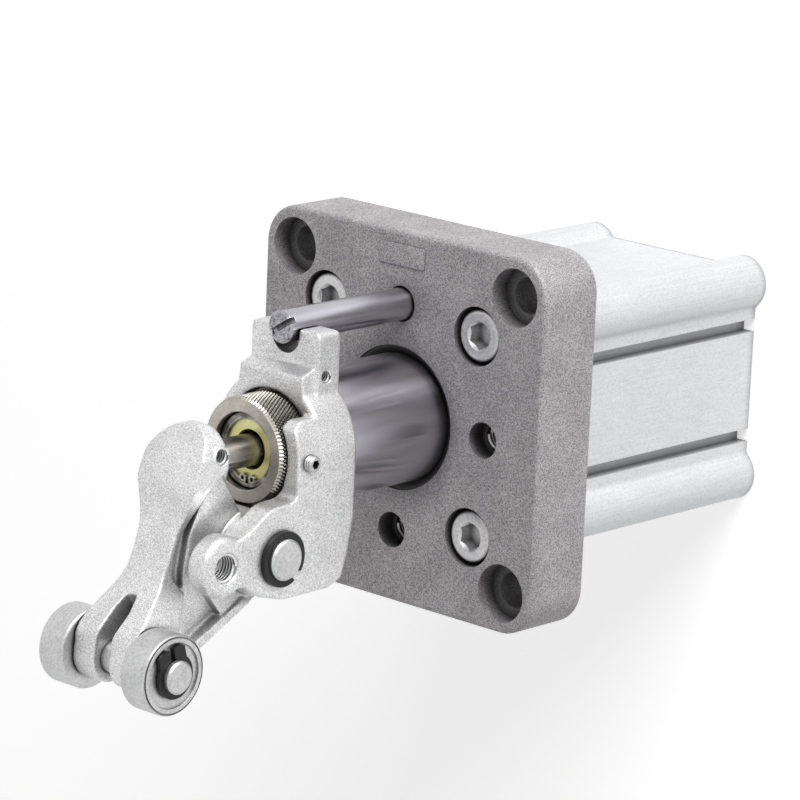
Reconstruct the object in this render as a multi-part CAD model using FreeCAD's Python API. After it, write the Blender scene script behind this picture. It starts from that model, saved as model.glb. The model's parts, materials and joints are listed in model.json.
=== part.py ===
import FreeCAD
import Part
import math
import os

# Stopper cylinder with a tilting lever and a built-in shock absorber.
# Millimetres. +Z runs along the piston rod, +Y points to the guide rod, and +X to
# the side with the dial set screw. The origin is the centre of the flange's mounting
# face, on the rod's axis. The rod stands extended and the lever leans out at rest.

Vector = FreeCAD.Vector
X_AXIS = Vector(1, 0, 0)
Y_AXIS = Vector(0, 1, 0)
Z_AXIS = Vector(0, 0, 1)

# Fits: radial clearances of runners, of seated pieces and of faces side by side
RUNNING = 0.05
SEATED = 0.02
FACE_GAP = 0.1
SOFT_GAP = 0.3

# Flange that covers the rod end
FLANGE_W = 93.0
FLANGE_T = 19.0
FLANGE_CORNER_R = 10.0
FLANGE_EDGE_R = 1.2
MOUNT_PITCH = 73.0
MOUNT_HOLE_D = 9.0
MOUNT_SINK_D = 14.4
MOUNT_SINK_DEPTH = 5.2
SPIGOT_L = 12.0

# Socket-head screws that hold the flange to the tube
SCREW_PITCH = 50.0
SCREW_D = 8.0
SCREW_HOLE_D = 9.0
SCREW_HEAD_D = 13.0
SCREW_HEAD_H = 8.0
SCREW_HEX = 6.0
SCREW_HEX_DEPTH = 4.0
SCREW_GRIP = 15.0
SCREW_SINK_D = 14.6
SCREW_SINK_DEPTH = 8.8

# Cylinder tube
BORE_D = 50.0
STROKE = 30.0
LOBE_R = 7.0
FACE_W = 58.0
SLOT_CENTRE = 14.45
SLOT_W = 3.3
SLOT_DEPTH = 3.3
LOBE_CREASE_R = 1.5
RAIL_W = 19.0
PORT_D = 8.6
PORT_DEPTH = 5.0
PORT_HOLE_D = 3.0
TOP_PORT_DROP = 8.5
HEAD_T = 12.0
HEAD_RECESS = 4.1

# Piston, rod and what seals them
PISTON_H = 20.0
PISTON_SKIRT_H = 6.0
PISTON_SKIRT_GAP = 2.5
ROD_D = 32.0
ROD_REACH = 32.5
ROD_PILOT_D = 20.0
ROD_PILOT_H = 3.0
BUSHING_D = 36.0
BUSHING_H = 17.0
ROD_SEAL_D = 39.0
ROD_SEAL_H = 4.0
SCRAPER_D = 36.0
SCRAPER_H = 4.6
SCRAPER_SINK = 0.5
BUMPER_T = 1.4
BUMPER_W = 3.5
BUMPER_INSET = 2.0
O_RING_D = 2.4
GROOVE_W = 2.9
SNAP_RING_T = 1.9
SNAP_RING_BITE = 1.3
PISTON_SEAL_H = 5.0
WEAR_RING_H = 4.0
MAGNET_H = 3.6
RING_DEPTH = 2.4
MAGNET_DEPTH = 4.0
PISTON_SCREW_D = 10.0
PISTON_SCREW_HEAD_D = 16.0
PISTON_SCREW_HEAD_H = 7.0
PISTON_SCREW_L = 14.0
SPRING_WIRE_D = 2.6
SPRING_MEAN_D = 26.0
SPRING_TURNS = 4.5
SPRING_CUP_DEPTH = 12.0

# Guide rod that keeps the lever holder from turning
GUIDE_RADIUS = 28.5
GUIDE_D = 8.0
GUIDE_HOLE_D = 8.9
GUIDE_HOLE_DEPTH = 5.0
GUIDE_THREAD_D = 6.7
GUIDE_THREAD_L = 9.0
GUIDE_THREAD_LEAD = 0.4
GUIDE_REACH = 42.0
GUIDE_SLOT_W = 1.5
GUIDE_SLOT_DEPTH = 1.8
GUIDE_SLOT_TILT = 32.0

# Lever holder, heights above its seat on the rod
HOLDER_W = 35.6
TAB_W = 22.4
TAB_T = 7.5
TAB_CORNER_R = 1.6
TAB_LEDGE_Y = 20.2
TAB_NOTCH_W = 8.7
TAB_NOTCH_DROP = 2.0
TAB_HOLE_D = 3.3
TAB_HOLE_DEPTH = 8.0
TAB_HOLE_Y = 17.9
TAB_HOLE_H = 4.4
COLLAR_H = 12.0
COLLAR_LEDGE_Y = 18.3
COLLAR_NECK_W = 20.0
COLLAR_EDGE_R = 1.0
CHEEK_H = 19.7
CHEEK_END_Y = 9.6
DIAL_BORE_D = 27.8
DIAL_FLOOR_H = 8.0
ROD_SPIGOT_D = 29.0
ROD_SPIGOT_H = 6.0
EAR_T = 6.3
EAR_R = 10.6
EAR_BOSS_R = 7.5
EAR_BOSS_Y = -21.0
EAR_BOSS_H = 42.4
EAR_BOSS_EDGE_R = 1.8
EAR_HOLE_D = 7.2
EAR_TOE_Y = -32.0
LOCK_SCREW_D = 5.0
LOCK_SCREW_H = 3.2
LOCK_SCREW_L = 3.0

# Lever pivot
PIVOT_Y = -21.7
PIVOT_H = 24.5
LEVER_PIN_D = 10.0
LEVER_PIN_L = 40.2
LEVER_RING_T = 1.2
LEVER_RING_W = 2.2
LEVER_RING_GAP = 2.7
LEVER_RING_TURN = 224.0
RING_GROOVE_DEPTH = 0.5

# Shock absorber, heights above the holder's seat
ABSORBER_D = 22.0
ABSORBER_L = 56.5
ABSORBER_FLANGE_T = 1.5
ABSORBER_WALL = 3.0
NECK_D = 18.1
NECK_H = 18.9
GLAND_D = 16.4
GLAND_L = 9.0
WASHER_T = 1.4
WASHER_HOLE_D = 9.8
NECK_RING_T = 0.8
NECK_RING_W = 0.7
NECK_RING_EYE_R = 1.05
NECK_RING_EYE_X = 1.5
PLUNGER_D = 7.8
PLUNGER_REACH = 30.2
PLUNGER_HEAD_D = 14.4
PLUNGER_HEAD_H = 5.0
ABSORBER_WIRE_D = 2.0
ABSORBER_TURNS = 4.0
DIAL_D = 26.4
DIAL_PROUD = 1.1
DIAL_RIM = 3.5
DIAL_EDGE = 0.85
DIAL_MOUTH_GAP = 0.35
DIAL_MOUTH_DEPTH = 3.1
DIAL_SCREW_D = 4.0
DIAL_SCREW_H = 16.0
DIAL_SCREW_PROUD = 2.0
DIAL_SCREW_HEX = 2.0

# Lever, measured from its pivot or from the absorber's axis at rest
HUB_R = 9.9
HUB_SHIFT = 0.6
HUB_GAP = 0.4
LEVER_BUSH_WALL = 1.2
CORE_W = 12.4
BACK_W = 16.8
LEVER_HEAD_W = 19.2
NOSE_REACH = 9.7
NOSE_R = 10.0
PAD_R = 6.0
PAD_W = 11.0
PAD_Y = -1.5
LEVER_HOLE_D = 4.2
LEVER_HOLE_Y = 3.2
LEVER_HOLE_H = 36.6
FORK_W = 19.0
FORK_SLOT_W = 5.0
FORK_SLOT_END_W = 3.0
FORK_SLOT_START = 29.6
FORK_BOSS_R = 6.4
GROOVE_CUT = 2.4

# Rollers
ROLLER_OUT = 22.05
ROLLER_UP = 34.0
ROLLER_D = 19.4
ROLLER_W = 8.0
ROLLER_GAP = 0.3
ROLLER_EDGE_R = 0.7
ROLLER_GROOVE_D = 17.9
ROLLER_GROOVE_W = 0.4
ROLLER_RECESS_D = 15.8
ROLLER_RECESS = 0.5
ROLLER_PIN_D = 8.0
ROLLER_PIN_L = 40.2
ROLLER_RING_T = 0.9
ROLLER_RING_W = 1.9
ROLLER_RING_PRONG = 7.0
ROLLER_RING_PRONG_W = 8.4
ROLLER_RING_GAP = 1.5
ROLLER_RING_TURN = 14.0

# Heights that follow from the sizes above
FLANGE_TOP = FLANGE_T
SPIGOT_END = -SPIGOT_L
PISTON_TOP = SPIGOT_END - BUMPER_T - FACE_GAP
PISTON_END = PISTON_TOP - PISTON_H
HEAD_TOP = PISTON_END - STROKE - FACE_GAP - BUMPER_T
HEAD_END = HEAD_TOP - HEAD_T
TUBE_END = HEAD_END - SNAP_RING_T - HEAD_RECESS
SEAT = FLANGE_TOP + ROD_REACH
PIVOT_Z = SEAT + PIVOT_H
ROLLER_Y = PIVOT_Y - ROLLER_OUT
ROLLER_Z = PIVOT_Z + ROLLER_UP
ABSORBER_TOP = SEAT + DIAL_FLOOR_H
ABSORBER_END = ABSORBER_TOP - ABSORBER_L
NECK_TOP = SEAT + NECK_H
PLUNGER_TIP = SEAT + PLUNGER_REACH
PAD_Z = PLUNGER_TIP + FACE_GAP + PAD_R
DIAL_FRONT = SEAT + CHEEK_H + DIAL_PROUD
BORE_R = BORE_D / 2
ROD_R = ROD_D / 2


def cylinder(radius, low, high, x=0.0, y=0.0):
    """A round bar along Z."""
    return Part.makeCylinder(radius, high - low, Vector(x, y, low), Z_AXIS)


def ring(outer, inner, low, high, x=0.0, y=0.0):
    """A flat ring along Z, given by its two radii."""
    return cylinder(outer, low, high, x, y).cut(cylinder(inner, low, high, x, y))


def bar(radius, left, right, y, z):
    """A round bar along X."""
    return Part.makeCylinder(radius, right - left, Vector(left, y, z), X_AXIS)


def block(low, high):
    """A box between two corners."""
    size = Vector(*high) - Vector(*low)
    return Part.makeBox(size.x, size.y, size.z, Vector(*low))


def hexagon(across_flats, low, high, place):
    """A six-sided bar along Z between two heights, then put in place."""
    radius = across_flats / math.sqrt(3)
    corners = []
    for side in range(7):
        angle = math.radians(60 * side)
        corners.append(Vector(radius * math.cos(angle), radius * math.sin(angle), low))
    solid = Part.Face(Part.makePolygon(corners)).extrude(Vector(0, 0, high - low))
    solid.Placement = place
    return solid


def outline(corners):
    """A closed flat face from (a, b, radius) corners, each rounded to its radius."""
    count = len(corners)
    edges = []
    last_end = None
    first_start = None
    for index in range(count):
        a, b, radius = corners[index]
        before = corners[index - 1]
        after = corners[(index + 1) % count]
        corner = Vector(a, b, 0)
        towards = Vector(before[0], before[1], 0) - corner
        away = Vector(after[0], after[1], 0) - corner
        towards.normalize()
        away.normalize()
        if radius > 0:
            half = towards.getAngle(away) / 2
            reach = radius / math.tan(half)
            start = corner + towards * reach
            end = corner + away * reach
            inward = towards + away
            inward.normalize()
            middle = corner + inward * (radius / math.sin(half) - radius)
        else:
            start = corner
            end = corner
        if last_end is None:
            first_start = start
        elif last_end.distanceToPoint(start) > 1e-6:
            edges.append(Part.LineSegment(last_end, start).toShape())
        if radius > 0:
            edges.append(Part.Arc(start, middle, end).toShape())
        last_end = end
    if last_end.distanceToPoint(first_start) > 1e-6:
        edges.append(Part.LineSegment(last_end, first_start).toShape())
    return Part.Face(Part.Wire(edges))


def plan_solid(corners, low, high):
    """An outline in X and Y, raised between two heights."""
    face = outline(corners)
    face.translate(Vector(0, 0, low))
    return face.extrude(Vector(0, 0, high - low))


def side_solid(corners, left, right):
    """An outline in Y and Z, drawn across from left to right."""
    face = outline(corners)
    face.Placement = FreeCAD.Placement(Vector(left, 0, 0), FreeCAD.Rotation(Vector(1, 1, 1), 120))
    return face.extrude(Vector(right - left, 0, 0))


def mirrored(solid):
    """The same solid on the other side of the X = 0 plane."""
    return solid.mirror(Vector(0, 0, 0), X_AXIS)


def above_seat(corners):
    """Side outline corners whose second value is the height above the holder's seat."""
    return [(y, SEAT + height, radius) for y, height, radius in corners]


def square_places(pitch):
    """Four places at the corners of a square."""
    half = pitch / 2
    return [(x * half, y * half) for x in (-1, 1) for y in (-1, 1)]


def guide_places():
    """The four places that can take the guide rod, the fitted one first."""
    return [(0, GUIDE_RADIUS), (GUIDE_RADIUS, 0), (0, -GUIDE_RADIUS), (-GUIDE_RADIUS, 0)]


def coil(mean_d, wire_d, low, high, turns):
    """A compression spring between two heights, with its wire's ends inside them."""
    radius = wire_d / 2
    rise = high - low - wire_d
    path = Part.makeHelix(rise / turns, rise, mean_d / 2)
    path.translate(Vector(0, 0, low + radius))
    start = Vector(mean_d / 2, 0, low + radius)
    section = Part.Wire(Part.makeCircle(radius, start, Y_AXIS))
    return Part.Wire(path).makePipeShell([section], True, True)


def open_ring(body, gap, reach, thickness, place):
    """A flat body opened towards +Y by a gap, then put in place."""
    solid = body.cut(block((-gap / 2, 0, 0), (gap / 2, reach, thickness)))
    solid.Placement = place
    return solid


def on_pin(x, y, z, turn):
    """The place of a ring on a pin along X, with its gap turned from +Y towards +Z."""
    place = FreeCAD.Placement(Vector(x, y, z), FreeCAD.Rotation(Y_AXIS, 90))
    return place.multiply(FreeCAD.Placement(Vector(), FreeCAD.Rotation(Z_AXIS, turn)))


def rod_cover():
    half = FLANGE_W / 2
    corner = FLANGE_CORNER_R
    square = [(-half, -half, corner), (half, -half, corner), (half, half, corner), (-half, half, corner)]
    plate = plan_solid(square, 0, FLANGE_TOP)
    rim = [edge for edge in plate.Edges if abs(edge.BoundBox.ZLength) < 1e-6]
    solid = plate.makeFillet(FLANGE_EDGE_R, rim)
    solid = solid.fuse(cylinder(BORE_R - SEATED, SPIGOT_END, FLANGE_EDGE_R))
    bushing_top = SPIGOT_END + BUSHING_H + SEATED
    seal_low = bushing_top + 1.0
    scraper_low = FLANGE_TOP - SCRAPER_SINK - SCRAPER_H
    cuts = [
        cylinder(BUSHING_D / 2 + SEATED, SPIGOT_END, bushing_top),
        cylinder(ROD_R + SOFT_GAP, bushing_top, FLANGE_TOP),
        cylinder(ROD_SEAL_D / 2 + SEATED, seal_low, seal_low + ROD_SEAL_H),
        cylinder(SCRAPER_D / 2 + SEATED, scraper_low, FLANGE_TOP),
        cover_groove(),
    ]
    for x, y in square_places(MOUNT_PITCH):
        cuts.append(cylinder(MOUNT_HOLE_D / 2, 0, FLANGE_TOP, x, y))
        cuts.append(cylinder(MOUNT_SINK_D / 2, FLANGE_TOP - MOUNT_SINK_DEPTH, FLANGE_TOP, x, y))
    for x, y in square_places(SCREW_PITCH):
        cuts.append(cylinder(SCREW_HOLE_D / 2, 0, FLANGE_TOP, x, y))
        cuts.append(cylinder(SCREW_SINK_D / 2, FLANGE_TOP - SCREW_SINK_DEPTH, FLANGE_TOP, x, y))
    for x, y in guide_places():
        mouth = FLANGE_TOP - GUIDE_HOLE_DEPTH
        cuts.append(cylinder(GUIDE_HOLE_D / 2, mouth, FLANGE_TOP, x, y))
        hole = GUIDE_THREAD_D / 2 + SEATED
        cuts.append(cylinder(hole, mouth - GUIDE_THREAD_L - 1.0, mouth, x, y))
        cuts.append(Part.makeCone(hole, hole + GUIDE_THREAD_LEAD, GUIDE_THREAD_LEAD,
                                  Vector(x, y, mouth - GUIDE_THREAD_LEAD)))
    # the air's way from the upper port past the spigot
    port_low = -TOP_PORT_DROP - PORT_HOLE_D / 2
    cuts.append(block((-BORE_R, -PORT_HOLE_D / 2, SPIGOT_END), (-BORE_R + PORT_HOLE_D, PORT_HOLE_D / 2,
                                                               port_low + PORT_HOLE_D)))
    return solid.cut(cuts)


def cover_groove():
    middle = -TOP_PORT_DROP / 2 + 0.5
    return ring(BORE_R, BORE_R - O_RING_D, middle - GROOVE_W / 2, middle + GROOVE_W / 2)


def o_ring(middle):
    """A soft ring in a groove against the tube's bore."""
    radius = O_RING_D / 2 - SEATED
    return Part.makeTorus(BORE_R - O_RING_D / 2, radius, Vector(0, 0, middle), Z_AXIS)


def cover_o_ring():
    return o_ring(-TOP_PORT_DROP / 2 + 0.5)


def rod_bushing():
    return ring(BUSHING_D / 2, ROD_R + RUNNING, SPIGOT_END, SPIGOT_END + BUSHING_H)


def rod_seal():
    low = SPIGOT_END + BUSHING_H + SEATED + 1.0
    body = ring(ROD_SEAL_D / 2, ROD_R + RUNNING, low, low + ROD_SEAL_H)
    lip = ring(ROD_SEAL_D / 2 - 1.0, ROD_R + 0.9, low, low + ROD_SEAL_H / 2)
    return body.cut(lip)


def rod_scraper():
    low = FLANGE_TOP - SCRAPER_SINK - SCRAPER_H
    high = FLANGE_TOP - SCRAPER_SINK
    body = ring(SCRAPER_D / 2, ROD_R + RUNNING, low, high)
    lip = Part.makeCone(ROD_R + RUNNING, SCRAPER_D / 2 - 0.5, 1.0, Vector(0, 0, high - 1.0), Z_AXIS)
    return body.cut(lip)


def bumper(low):
    """A soft flat ring that the piston lands on."""
    outer = BORE_R - BUMPER_INSET
    return ring(outer, outer - BUMPER_W, low, low + BUMPER_T)


def top_bumper():
    return bumper(SPIGOT_END - BUMPER_T)


def bottom_bumper():
    return bumper(HEAD_TOP)


def cover_screws():
    """Four identical socket-head screws."""
    head_top = FLANGE_TOP - SCREW_SINK_DEPTH + SCREW_HEAD_H
    head = cylinder(SCREW_HEAD_D / 2, head_top - SCREW_HEAD_H, head_top)
    top = [edge for edge in head.Edges if abs(edge.BoundBox.ZMin - head_top) < 1e-6]
    head = head.makeChamfer(0.6, top)
    shank = cylinder(SCREW_D / 2, -SCREW_GRIP, head_top - SCREW_HEAD_H)
    socket = hexagon(SCREW_HEX, head_top - SCREW_HEX_DEPTH, head_top, FreeCAD.Placement())
    screw = head.fuse(shank).cut(socket)
    solids = []
    for x, y in square_places(SCREW_PITCH):
        one = screw.copy()
        one.translate(Vector(x, y, 0))
        solids.append(one)
    return Part.makeCompound(solids)


def lobe_creases(solid):
    """The eight inner corners where the tube's faces run into its lobes."""
    half = FACE_W / 2
    creases = []
    for edge in solid.Edges:
        box = edge.BoundBox
        near = min(abs(box.XMin), abs(box.YMin))
        far = max(abs(box.XMin), abs(box.YMin))
        if box.ZLength > 1.0 and abs(far - half) < 1e-4 and near < half - 1.0:
            creases.append(edge)
    return creases


def cylinder_tube():
    half = FACE_W / 2
    rail_face = -(SCREW_PITCH / 2 + LOBE_R)
    solid = block((-half, -half, TUBE_END), (half, half, 0))
    for x, y in square_places(SCREW_PITCH):
        solid = solid.fuse(cylinder(LOBE_R, TUBE_END, 0, x, y))
    solid = solid.removeSplitter()
    solid = solid.makeFillet(LOBE_CREASE_R, lobe_creases(solid))
    solid = solid.fuse(block((rail_face, -RAIL_W / 2, TUBE_END), (0, RAIL_W / 2, 0)))
    cuts = [cylinder(BORE_R, TUBE_END, 0)]
    for side in (-1, 1):
        for y in (-SLOT_CENTRE, SLOT_CENTRE):
            near = side * half
            far = side * (half - SLOT_DEPTH)
            cuts.append(block((min(near, far), y - SLOT_W / 2, TUBE_END), (max(near, far), y + SLOT_W / 2, 0)))
    for x, y in square_places(SCREW_PITCH):
        cuts.append(cylinder(SCREW_D / 2 + SEATED, TUBE_END, 0, x, y))
    cuts.append(cylinder(BORE_R + SNAP_RING_BITE, HEAD_END - SNAP_RING_T, HEAD_END))
    for z in (-TOP_PORT_DROP, HEAD_TOP + BUMPER_T + PISTON_SKIRT_H / 2):
        cuts.append(bar(PORT_D / 2, rail_face, rail_face + PORT_DEPTH, 0, z))
        cuts.append(bar(PORT_HOLE_D / 2, rail_face, -BORE_R + PORT_HOLE_D, 0, z))
    return solid.cut(cuts)


def head_plate():
    solid = cylinder(BORE_R - SEATED, HEAD_END, HEAD_TOP)
    middle = (HEAD_END + HEAD_TOP) / 2
    groove = ring(BORE_R, BORE_R - O_RING_D, middle - GROOVE_W / 2, middle + GROOVE_W / 2)
    locator = cylinder((SPRING_MEAN_D - SPRING_WIRE_D) / 2 - SOFT_GAP, HEAD_TOP, HEAD_TOP + 2.5)
    hollow = cylinder(BORE_R - 9.0, HEAD_END, HEAD_END + 3.0)
    return solid.cut(groove).fuse(locator).cut(hollow)


def head_o_ring():
    return o_ring((HEAD_END + HEAD_TOP) / 2)


def head_snap_ring():
    outer = BORE_R + SNAP_RING_BITE - SEATED
    place = FreeCAD.Placement(Vector(0, 0, HEAD_END - SNAP_RING_T), FreeCAD.Rotation())
    body = ring(outer, BORE_R - 2.6, 0, SNAP_RING_T)
    for x in (-3.4, 3.4):
        body = body.fuse(cylinder(2.2, 0, SNAP_RING_T, x, BORE_R - 3.4))
    body = body.cut(block((-1.2, 0, 0), (1.2, outer, SNAP_RING_T)))
    for x in (-3.4, 3.4):
        body = body.cut(cylinder(1.1, 0, SNAP_RING_T, x, BORE_R - 3.6))
    body.Placement = place
    return body


def groove_heights():
    """Low and high of the piston's seal, wear ring and magnet grooves."""
    seal_high = PISTON_TOP - 2.0
    wear_high = seal_high - PISTON_SEAL_H - 1.2
    wear_low = wear_high - WEAR_RING_H
    magnet_low = wear_high - WEAR_RING_H / 2 - MAGNET_H / 2
    return {
        "seal": (seal_high - PISTON_SEAL_H, seal_high),
        "wear": (wear_low, wear_high),
        "magnet": (magnet_low, magnet_low + MAGNET_H),
    }


def piston():
    heights = groove_heights()
    outer = BORE_R - RUNNING * 2
    solid = cylinder(outer, PISTON_END + PISTON_SKIRT_H, PISTON_TOP)
    solid = solid.fuse(cylinder(BORE_R - PISTON_SKIRT_GAP, PISTON_END, PISTON_TOP))
    cuts = [
        ring(BORE_R, outer - RING_DEPTH, *heights["seal"]),
        ring(BORE_R, outer - RING_DEPTH, *heights["wear"]),
        ring(BORE_R, outer - RING_DEPTH - MAGNET_DEPTH, *heights["magnet"]),
        cylinder(PISTON_SCREW_D / 2 + SEATED, PISTON_END, PISTON_TOP),
        cylinder(ROD_PILOT_D / 2 + SEATED, PISTON_TOP - ROD_PILOT_H, PISTON_TOP),
        cylinder((SPRING_MEAN_D + SPRING_WIRE_D) / 2 + SOFT_GAP, PISTON_END, PISTON_END + SPRING_CUP_DEPTH),
    ]
    return solid.cut(cuts)


def piston_ring(outer, depth, heights):
    """A ring that fills a groove of the piston."""
    low, high = heights
    inner = BORE_R - RUNNING * 2 - depth + SEATED
    return ring(outer, inner, low + SEATED, high - SEATED)


def piston_seal():
    return piston_ring(BORE_R - RUNNING, RING_DEPTH, groove_heights()["seal"])


def piston_wear_ring():
    return piston_ring(BORE_R - RUNNING, RING_DEPTH, groove_heights()["wear"])


def piston_magnet():
    inner_wall = BORE_R - RUNNING * 2 - RING_DEPTH
    return piston_ring(inner_wall, RING_DEPTH + MAGNET_DEPTH, groove_heights()["magnet"])


def piston_screw():
    head_top = PISTON_END + SPRING_CUP_DEPTH
    head_low = head_top - PISTON_SCREW_HEAD_H
    solid = cylinder(PISTON_SCREW_HEAD_D / 2, head_low, head_top)
    solid = solid.fuse(cylinder(PISTON_SCREW_D / 2, head_top, head_top + PISTON_SCREW_L))
    return solid.cut(hexagon(PISTON_SCREW_D * 0.8, head_low, head_low + 5.0, FreeCAD.Placement()))


def return_spring():
    return coil(SPRING_MEAN_D, SPRING_WIRE_D, HEAD_TOP + SEATED, PISTON_END + SPRING_CUP_DEPTH - SEATED,
                SPRING_TURNS)


def piston_rod():
    solid = cylinder(ROD_R, PISTON_TOP, SEAT)
    solid = solid.fuse(cylinder(ROD_PILOT_D / 2, PISTON_TOP - ROD_PILOT_H + SEATED, PISTON_TOP))
    solid = solid.fuse(cylinder(ROD_SPIGOT_D / 2, SEAT, SEAT + ROD_SPIGOT_H))
    screw_top = PISTON_END + SPRING_CUP_DEPTH + PISTON_SCREW_L
    cuts = [
        cylinder(ABSORBER_D / 2 + SEATED, ABSORBER_END - 1.0, SEAT + ROD_SPIGOT_H),
        cylinder(PISTON_SCREW_D / 2 + SEATED, PISTON_TOP - ROD_PILOT_H, screw_top + 0.5),
    ]
    return solid.cut(cuts)


def guide_rod():
    x, y = guide_places()[0]
    low = FLANGE_TOP - GUIDE_HOLE_DEPTH
    top = FLANGE_TOP + GUIDE_REACH
    shank = cylinder(GUIDE_D / 2, low, top, x, y)
    end = [edge for edge in shank.Edges if abs(edge.BoundBox.ZMin - top) < 1e-6]
    shank = shank.makeChamfer(0.5, end)
    thread = cylinder(GUIDE_THREAD_D / 2, low - GUIDE_THREAD_L, low, x, y)
    slot = block((-GUIDE_D, -GUIDE_SLOT_W / 2, 0), (GUIDE_D, GUIDE_SLOT_W / 2, GUIDE_SLOT_DEPTH))
    slot.Placement = FreeCAD.Placement(Vector(x, y, top - GUIDE_SLOT_DEPTH),
                                       FreeCAD.Rotation(Z_AXIS, GUIDE_SLOT_TILT))
    return shank.fuse(thread).cut(slot)


def holder_plan():
    """The holder seen along the rod: a tab, a round collar and straight cheeks."""
    side = HOLDER_W / 2
    tab = TAB_W / 2
    far = GUIDE_RADIUS
    top = SEAT + EAR_BOSS_H + EAR_BOSS_R
    tab_plan = [(-tab, 0, 0.0), (tab, 0, 0.0), (tab, far, TAB_CORNER_R), (-tab, far, TAB_CORNER_R)]
    neck = COLLAR_NECK_W / 2
    neck_plan = [
        (-neck - 2.0, 0, 0.0), (neck + 2.0, 0, 0.0), (neck + 0.6, 15.2, 0.0), (neck - 0.5, far, 0.0),
        (-neck + 0.5, far, 0.0), (-neck - 0.6, 15.2, 0.0),
    ]
    return plan_solid(tab_plan, SEAT, SEAT + TAB_T).fuse([
        plan_solid(neck_plan, SEAT, SEAT + COLLAR_H),
        cylinder(side, SEAT, top),
        block((-side, EAR_TOE_Y - 1.0, SEAT), (side, 0, top)),
    ])


def holder_back():
    """The lower edge of the holder's side outline, from the rod to the toe."""
    return above_seat([
        (-15.0, 0.0, 6.0), (-24.2, 1.6, 5.0), (-30.2, 3.6, 2.0), (EAR_TOE_Y, 8.0, 3.0),
    ])


def holder_body():
    """The part of the holder that reaches from side to side."""
    corners = above_seat([(GUIDE_RADIUS, 0.0, 0.8)]) + holder_back() + above_seat([
        (EAR_TOE_Y, COLLAR_H, 0.0), (COLLAR_LEDGE_Y, COLLAR_H, 0.8),
        (TAB_LEDGE_Y, TAB_T, 0.8), (GUIDE_RADIUS, TAB_T, 0.8),
    ])
    return side_solid(corners, -HOLDER_W / 2, HOLDER_W / 2)


def right_ear():
    """The +X ear, with the wall for the set screw and the bored boss at its top."""
    side = HOLDER_W / 2
    corners = above_seat([(CHEEK_END_Y, 0.0, 0.0)]) + holder_back() + above_seat([
        (EAR_TOE_Y - 0.2, 22.8, 6.0), (-30.0, 31.4, 4.0), (-27.0, 35.8, 2.0), (-25.5, EAR_BOSS_H, 0.0),
        (-16.0, EAR_BOSS_H - 1.0, 0.0), (-13.6, 34.9, 4.0), (-9.2, 27.9, 6.0), (-8.6, CHEEK_H - 0.6, 2.0),
        (-4.6, CHEEK_H, 1.0), (8.0, CHEEK_H, 1.5), (CHEEK_END_Y, 17.0, 1.0),
    ])
    boss = bar(EAR_BOSS_R, side - EAR_T, side, EAR_BOSS_Y, SEAT + EAR_BOSS_H)
    rims = [edge for edge in boss.Edges if abs(edge.BoundBox.XLength) < 1e-6]
    boss = boss.makeFillet(EAR_BOSS_EDGE_R, rims)
    return side_solid(corners, side - EAR_T, side), boss


def left_ear():
    """The -X ear, plain and round about the lever pin."""
    side = HOLDER_W / 2
    corners = above_seat([(-4.0, 0.0, 0.0)]) + holder_back() + above_seat([
        (EAR_TOE_Y - 0.2, PIVOT_H + 0.4, 6.0), (PIVOT_Y - EAR_R * 0.8, PIVOT_H + EAR_R * 0.8, 5.0),
        (PIVOT_Y, PIVOT_H + EAR_R, 5.0), (PIVOT_Y + EAR_R * 0.8, PIVOT_H + EAR_R * 0.7, 5.0),
        (PIVOT_Y + EAR_R + 1.4, COLLAR_H + 7.0, 5.0), (-4.0, COLLAR_H, 0.0),
    ])
    return side_solid(corners, -side, EAR_T - side)


def collar_rims(solid):
    """The round front edges of the collar."""
    front = SEAT + COLLAR_H
    rims = []
    for edge in solid.Edges:
        box = edge.BoundBox
        if box.ZLength < 1e-6 and abs(box.ZMin - front) < 1e-6 and edge.Curve.TypeId == "Part::GeomCircle":
            rims.append(edge)
    return rims


def lever_holder():
    side = HOLDER_W / 2
    cheek_front = SEAT + CHEEK_H
    boss_z = SEAT + EAR_BOSS_H
    ear, boss = right_ear()
    solid = holder_body().fuse([ear, left_ear()]).common(holder_plan()).fuse(boss).removeSplitter()
    solid = solid.makeFillet(COLLAR_EDGE_R, collar_rims(solid))
    notch_floor = GUIDE_RADIUS - TAB_NOTCH_DROP
    cuts = [
        cylinder(ABSORBER_D / 2 + SEATED, SEAT, cheek_front),
        cylinder(ROD_SPIGOT_D / 2 + SEATED, SEAT, SEAT + ROD_SPIGOT_H + SEATED),
        cylinder(DIAL_BORE_D / 2, SEAT + DIAL_FLOOR_H, cheek_front),
        bar(LEVER_PIN_D / 2 + SEATED, -side, side, PIVOT_Y, PIVOT_Z),
        bar(EAR_HOLE_D / 2, side - EAR_T, side, EAR_BOSS_Y, boss_z),
        bar(TAB_HOLE_D / 2, TAB_W / 2 - TAB_HOLE_DEPTH, side, TAB_HOLE_Y, SEAT + TAB_HOLE_H),
        bar(LOCK_SCREW_D / 2 + SEATED, -side, 0, 0, SEAT + LOCK_SCREW_H),
        bar(DIAL_SCREW_D / 2 + SEATED, 0, side, 0, SEAT + DIAL_SCREW_H),
        cylinder(TAB_NOTCH_W / 2, SEAT, SEAT + TAB_T, 0, notch_floor),
        block((-TAB_NOTCH_W / 2, notch_floor, SEAT), (TAB_NOTCH_W / 2, GUIDE_RADIUS, SEAT + TAB_T)),
    ]
    return solid.cut(cuts).removeSplitter()


def rod_lock_screw():
    """A grub screw that stops the rod from turning in the holder."""
    tip = -ROD_SPIGOT_D / 2 - SEATED
    outer = tip - LOCK_SCREW_L
    z = SEAT + LOCK_SCREW_H
    place = FreeCAD.Placement(Vector(outer, 0, z), FreeCAD.Rotation(Y_AXIS, 90))
    return bar(LOCK_SCREW_D / 2, outer, tip, 0, z).cut(hexagon(LOCK_SCREW_D / 2, 0, 1.6, place))


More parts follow.
